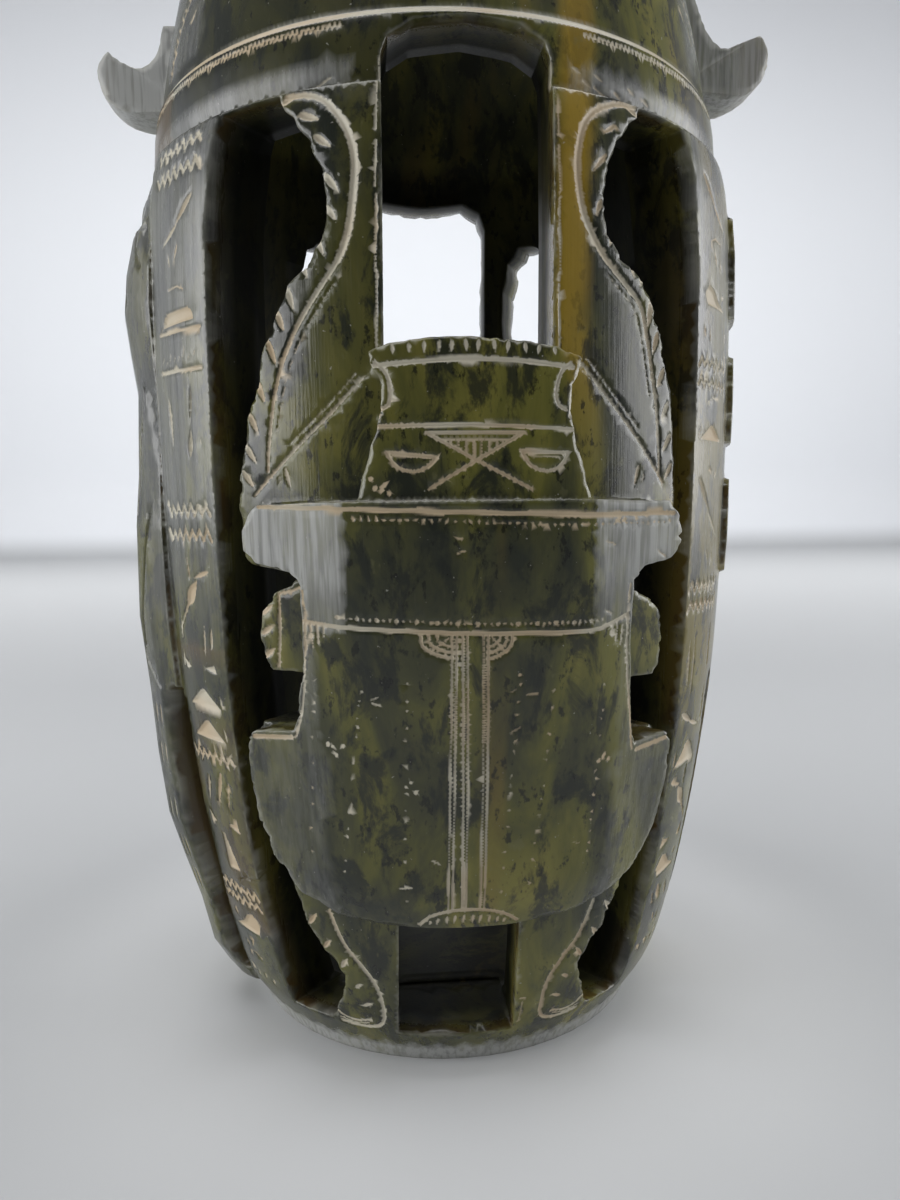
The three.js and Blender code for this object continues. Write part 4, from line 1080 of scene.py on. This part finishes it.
    # dark clouds and specks
    clear = ease_(math_("MULTIPLY", sheet, ease_(Z, 0.124, 0.142)), 0.1, 0.7, 1.0, 0.3)
    cloud = ease_(noise(135, (1, 1, 0.5), 6, 0.68, 0.4), 0.49, 0.60)
    base = mix(math_("MULTIPLY", math_("MULTIPLY", cloud, clear), 0.86), base, (0.016, 0.019, 0.015))
    speck = ease_(noise(460, (1, 1, 0.6), 4, 0.65), 0.58, 0.66)
    base = mix(math_("MULTIPLY", math_("MULTIPLY", speck, clear), 0.80), base, (0.009, 0.010, 0.008))
    fleck = ease_(noise(300, (1, 1, 0.7), 3, 0.6), 0.66, 0.74)
    base = mix(math_("MULTIPLY", fleck, 0.30), base, (0.16, 0.155, 0.07))
    scratch = noise(2600, (1, 1, 0.035), 2, 0.5)
    streak = noise(900, (1, 1, 0.05), 3, 0.6)
    base = mix(math_("MULTIPLY", ease_(scratch, 0.60, 0.76), 0.05), base, (0.16, 0.16, 0.12))
    prick = ease_(noise(1150, (1, 1, 1), 2, 0.6), 0.725, 0.76)
    base = mix(math_("MULTIPLY", prick, 0.55), base, (0.42, 0.41, 0.36))
    # brown rind, and painted shade in the deep cuts and the hollow inside
    base = mix(math_("MULTIPLY", attribute("rind"), 0.8), base, (0.130, 0.078, 0.026))
    base = mix(math_("MULTIPLY", attribute("deep"), 0.82), base, (0.004, 0.0042, 0.003))
    # scuffed faces with painted sheen, cut strokes and worn edges
    scuff_and_sheen_fac = attribute("scuff_and_sheen")
    # painted sheen and scuffs: streaked grey over the scuffed and sheen faces
    brushed_sheen = math_("MULTIPLY", scuff_and_sheen_fac, ease_(streak, 0.34, 0.64, 0.50, 1.0))
    base = mix(math_("MINIMUM", math_("MULTIPLY", brushed_sheen, 0.80), 0.92), base, (0.46, 0.465, 0.45))
    dust = noise(700, (1, 1, 1), 3, 0.6)
    at = attribute("pale")
    pale_fac = math_("MULTIPLY", at, math_("ADD", math_("MULTIPLY", dust, 0.8), 0.55))
    tint = mix(ease_(noise(40, (1, 1, 1), 2, 0.5), 0.4, 0.62), (0.58, 0.54, 0.43), (0.53, 0.42, 0.275))
    base = mix(ease_(pale_fac, 0.10, 0.72), base, tint)
    wr = attribute("wear")
    base = mix(math_("MULTIPLY", math_("MULTIPLY", wr, math_("SUBTRACT", 1.0, math_("MULTIPLY", attribute("deep"), 0.8))), 0.55), base, (0.42, 0.41, 0.35))
    L(base, bsdf.inputs["Base Color"])

    rough = math_("ADD", math_("MULTIPLY", scratch, 0.12), math_("MULTIPLY", pale_fac, 0.32))
    rough = math_("ADD", rough, math_("MULTIPLY", scuff_and_sheen_fac, 0.20))
    rough = math_("ADD", rough, math_("MULTIPLY", attribute("deep"), 0.25))
    rough = math_("ADD", rough, 0.15)
    L(rough, bsdf.inputs["Roughness"])
    bsdf.inputs["IOR"].default_value = 1.47
    L(ease_(attribute("deep"), 0.2, 1.0, 0.5, 0.12), bsdf.inputs["Specular IOR Level"])
    bump = add(nt, "ShaderNodeBump")
    bump.inputs["Strength"].default_value = 0.22
    bump.inputs["Distance"].default_value = 0.0002
    height = math_("ADD", math_("MULTIPLY", scratch, 0.5), math_("MULTIPLY", noise(500, (1, 1, 0.7), 4, 0.6), 0.4))
    L(height, bump.inputs["Height"])
    L(bump.outputs[0], bsdf.inputs["Normal"])
    return mat


vase.data.materials.append(serpentine())

# ---------------------------------------------------------------- stage
def backdrop():
    """Floor that turns up into a plain back wall."""
    w, y0, y1, rad, hgt = 3.0, -1.6, 2.3, 0.25, 2.6
    prof = [(y0, 0.0), (y1, 0.0)]
    for i in range(1, 17):
        t = i / 16 * math.pi / 2
        prof.append((y1 + rad * math.sin(t), rad * (1 - math.cos(t))))
    prof.append((y1 + rad, hgt))
    verts, faces = [], []
    for y, zz in prof:
        verts += [(-w, y, zz), (w, y, zz)]
    for i in range(len(prof) - 1):
        faces.append((2 * i, 2 * i + 1, 2 * i + 3, 2 * i + 2))
    m_ = bpy.data.meshes.new("backdrop")
    m_.from_pydata(verts, [], faces)
    m_.polygons.foreach_set("use_smooth", [True] * len(faces))
    o = bpy.data.objects.new("backdrop", m_)
    bpy.context.scene.collection.objects.link(o)
    mat = bpy.data.materials.new("backdrop")
    nt = nodes_of(mat)
    out = add(nt, "ShaderNodeOutputMaterial")
    b = add(nt, "ShaderNodeBsdfPrincipled")
    tc = add(nt, "ShaderNodeTexCoord")
    sep = add(nt, "ShaderNodeSeparateXYZ")
    nt.links.new(tc.outputs["Object"], sep.inputs[0])
    rise = add(nt, "ShaderNodeMapRange", interpolation_type="SMOOTHSTEP")
    rise.inputs["From Min"].default_value, rise.inputs["From Max"].default_value = -0.01, 0.07
    near = add(nt, "ShaderNodeMapRange", interpolation_type="SMOOTHSTEP")
    near.inputs["From Min"].default_value, near.inputs["From Max"].default_value = -0.55, -0.22
    nt.links.new(sep.outputs["Z"], rise.inputs["Value"])
    nt.links.new(sep.outputs["Y"], near.inputs["Value"])
    tone = add(nt, "ShaderNodeMix", data_type="RGBA")
    tone.inputs[6].default_value = (0.46, 0.47, 0.48, 1)
    # painted light: the floor is a little lighter close round the foot, lifting the vase's shadow
    span = add(nt, "ShaderNodeVectorMath", operation="LENGTH")
    nt.links.new(tc.outputs["Object"], span.inputs[0])
    ring = add(nt, "ShaderNodeMapRange", interpolation_type="SMOOTHSTEP")
    for name, val in (("From Min", 0.05), ("From Max", 0.115), ("To Min", 0.95), ("To Max", 0.0)):
        ring.inputs[name].default_value = val
    nt.links.new(span.outputs["Value"], ring.inputs["Value"])
    painted_floor_glow = add(nt, "ShaderNodeMix", data_type="RGBA")
    painted_floor_glow.inputs[7].default_value = (0.70, 0.71, 0.72, 1)
    nt.links.new(ring.outputs[0], painted_floor_glow.inputs[0])
    tone.inputs[7].default_value = (0.76, 0.78, 0.815, 1)
    front_ = add(nt, "ShaderNodeMix", data_type="RGBA")
    front_.inputs[6].default_value = (0.22, 0.225, 0.23, 1)
    nt.links.new(rise.outputs[0], tone.inputs[0])
    nt.links.new(near.outputs[0], front_.inputs[0])
    nt.links.new(tone.outputs[2], painted_floor_glow.inputs[6])
    nt.links.new(painted_floor_glow.outputs[2], front_.inputs[7])
    nt.links.new(front_.outputs[2], b.inputs["Base Color"])
    b.inputs["Roughness"].default_value = 0.9
    b.inputs["Specular IOR Level"].default_value = 0.2
    nt.links.new(b.outputs[0], out.inputs[0])
    m_.materials.append(mat)
    return o


backdrop()


def area(name, loc, aim, size, power, color=(1, 1, 1)):
    l = bpy.data.lights.new(name, "AREA")
    l.shape = "RECTANGLE"
    l.size, l.size_y = size
    l.energy = power
    l.color = color
    o = bpy.data.objects.new(name, l)
    o.location = loc
    o.rotation_euler = (Vector(aim) - Vector(loc)).to_track_quat("-Z", "Y").to_euler()
    bpy.context.scene.collection.objects.link(o)
    return o


area("left", (-1.42, -0.32, 0.40), (0, 0, 0.12), (1.35, 0.72), 12.8)
area("right", (1.48, -0.06, 0.40), (0, 0, 0.12), (1.35, 0.72), 11.5)
area("top", (0, 0.02, 1.7), (0, -0.02, 0.1), (1.9, 1.7), 27.0)
area("wall", (0.35, 0.90, 1.15), (0.35, 2.55, 0.36), (4.8, 0.4), 41.0)

world = bpy.data.worlds.new("studio")
bpy.context.scene.world = world
world.use_nodes = True
wt = world.node_tree
bg = wt.nodes["Background"]
bg.inputs[0].default_value = (0.93, 0.95, 1.0, 1)
co = wt.nodes.new("ShaderNodeTexCoord")
sep = wt.nodes.new("ShaderNodeSeparateXYZ")
ramp_w = wt.nodes.new("ShaderNodeMapRange")
ramp_w.interpolation_type = "SMOOTHSTEP"
ramp_w.inputs["From Min"].default_value = -0.85
ramp_w.inputs["From Max"].default_value = 0.1
ramp_w.inputs["To Min"].default_value = 0.025
ramp_w.inputs["To Max"].default_value = 0.9
wt.links.new(co.outputs["Generated"], sep.inputs[0])
wt.links.new(sep.outputs["Y"], ramp_w.inputs["Value"])
lid = wt.nodes.new("ShaderNodeMapRange")
lid.interpolation_type = "SMOOTHSTEP"
for name_, val_ in (("From Min", 0.28), ("From Max", 0.62), ("To Min", 1.0), ("To Max", 0.22)):
    lid.inputs[name_].default_value = val_
both_ = wt.nodes.new("ShaderNodeMath")
both_.operation = "MULTIPLY"
wt.links.new(sep.outputs["Z"], lid.inputs["Value"])
wt.links.new(ramp_w.outputs[0], both_.inputs[0])
wt.links.new(lid.outputs[0], both_.inputs[1])
wt.links.new(both_.outputs[0], bg.inputs[1])

# ---------------------------------------------------------------- camera
CAM_F, CAM_D, CAM_Z, CAM_PITCH, CAM_AZ, CAM_ROLL = 871.0, 199.0, 103.0, 5.5, -5.0, -0.72
AXIS_X = 440.9                                   # picture column of the vase's axis at mid height


def set_camera():
    cam = bpy.data.cameras.new("camera")
    cam.sensor_width = 36
    cam.lens = CAM_F / 1200 * 36
    cam.clip_start = 0.01
    o = bpy.data.objects.new("camera", cam)
    bpy.context.scene.collection.objects.link(o)
    az, p, roll = CAM_AZ * DEG, CAM_PITCH * DEG, CAM_ROLL * DEG
    right = Vector((math.cos(az), math.sin(az), 0))
    level = Vector((-math.sin(az), math.cos(az), 0))
    ahead = level * math.cos(p) - Vector((0, 0, 1)) * math.sin(p)
    up = Vector((0, 0, 1)) * math.cos(p) + level * math.sin(p)
    loc = -level * CAM_D + Vector((0, 0, CAM_Z)) + right * ((450 - AXIS_X) / CAM_F * CAM_D)
    r2 = right * math.cos(roll) + up * math.sin(roll)
    u2 = up * math.cos(roll) - right * math.sin(roll)
    m_ = Matrix((r2, u2, -ahead)).transposed()
    o.matrix_world = Matrix.Translation(loc * 0.001) @ m_.to_4x4()
    bpy.context.scene.camera = o


set_camera()
bpy.context.scene.view_settings.view_transform = "Standard"
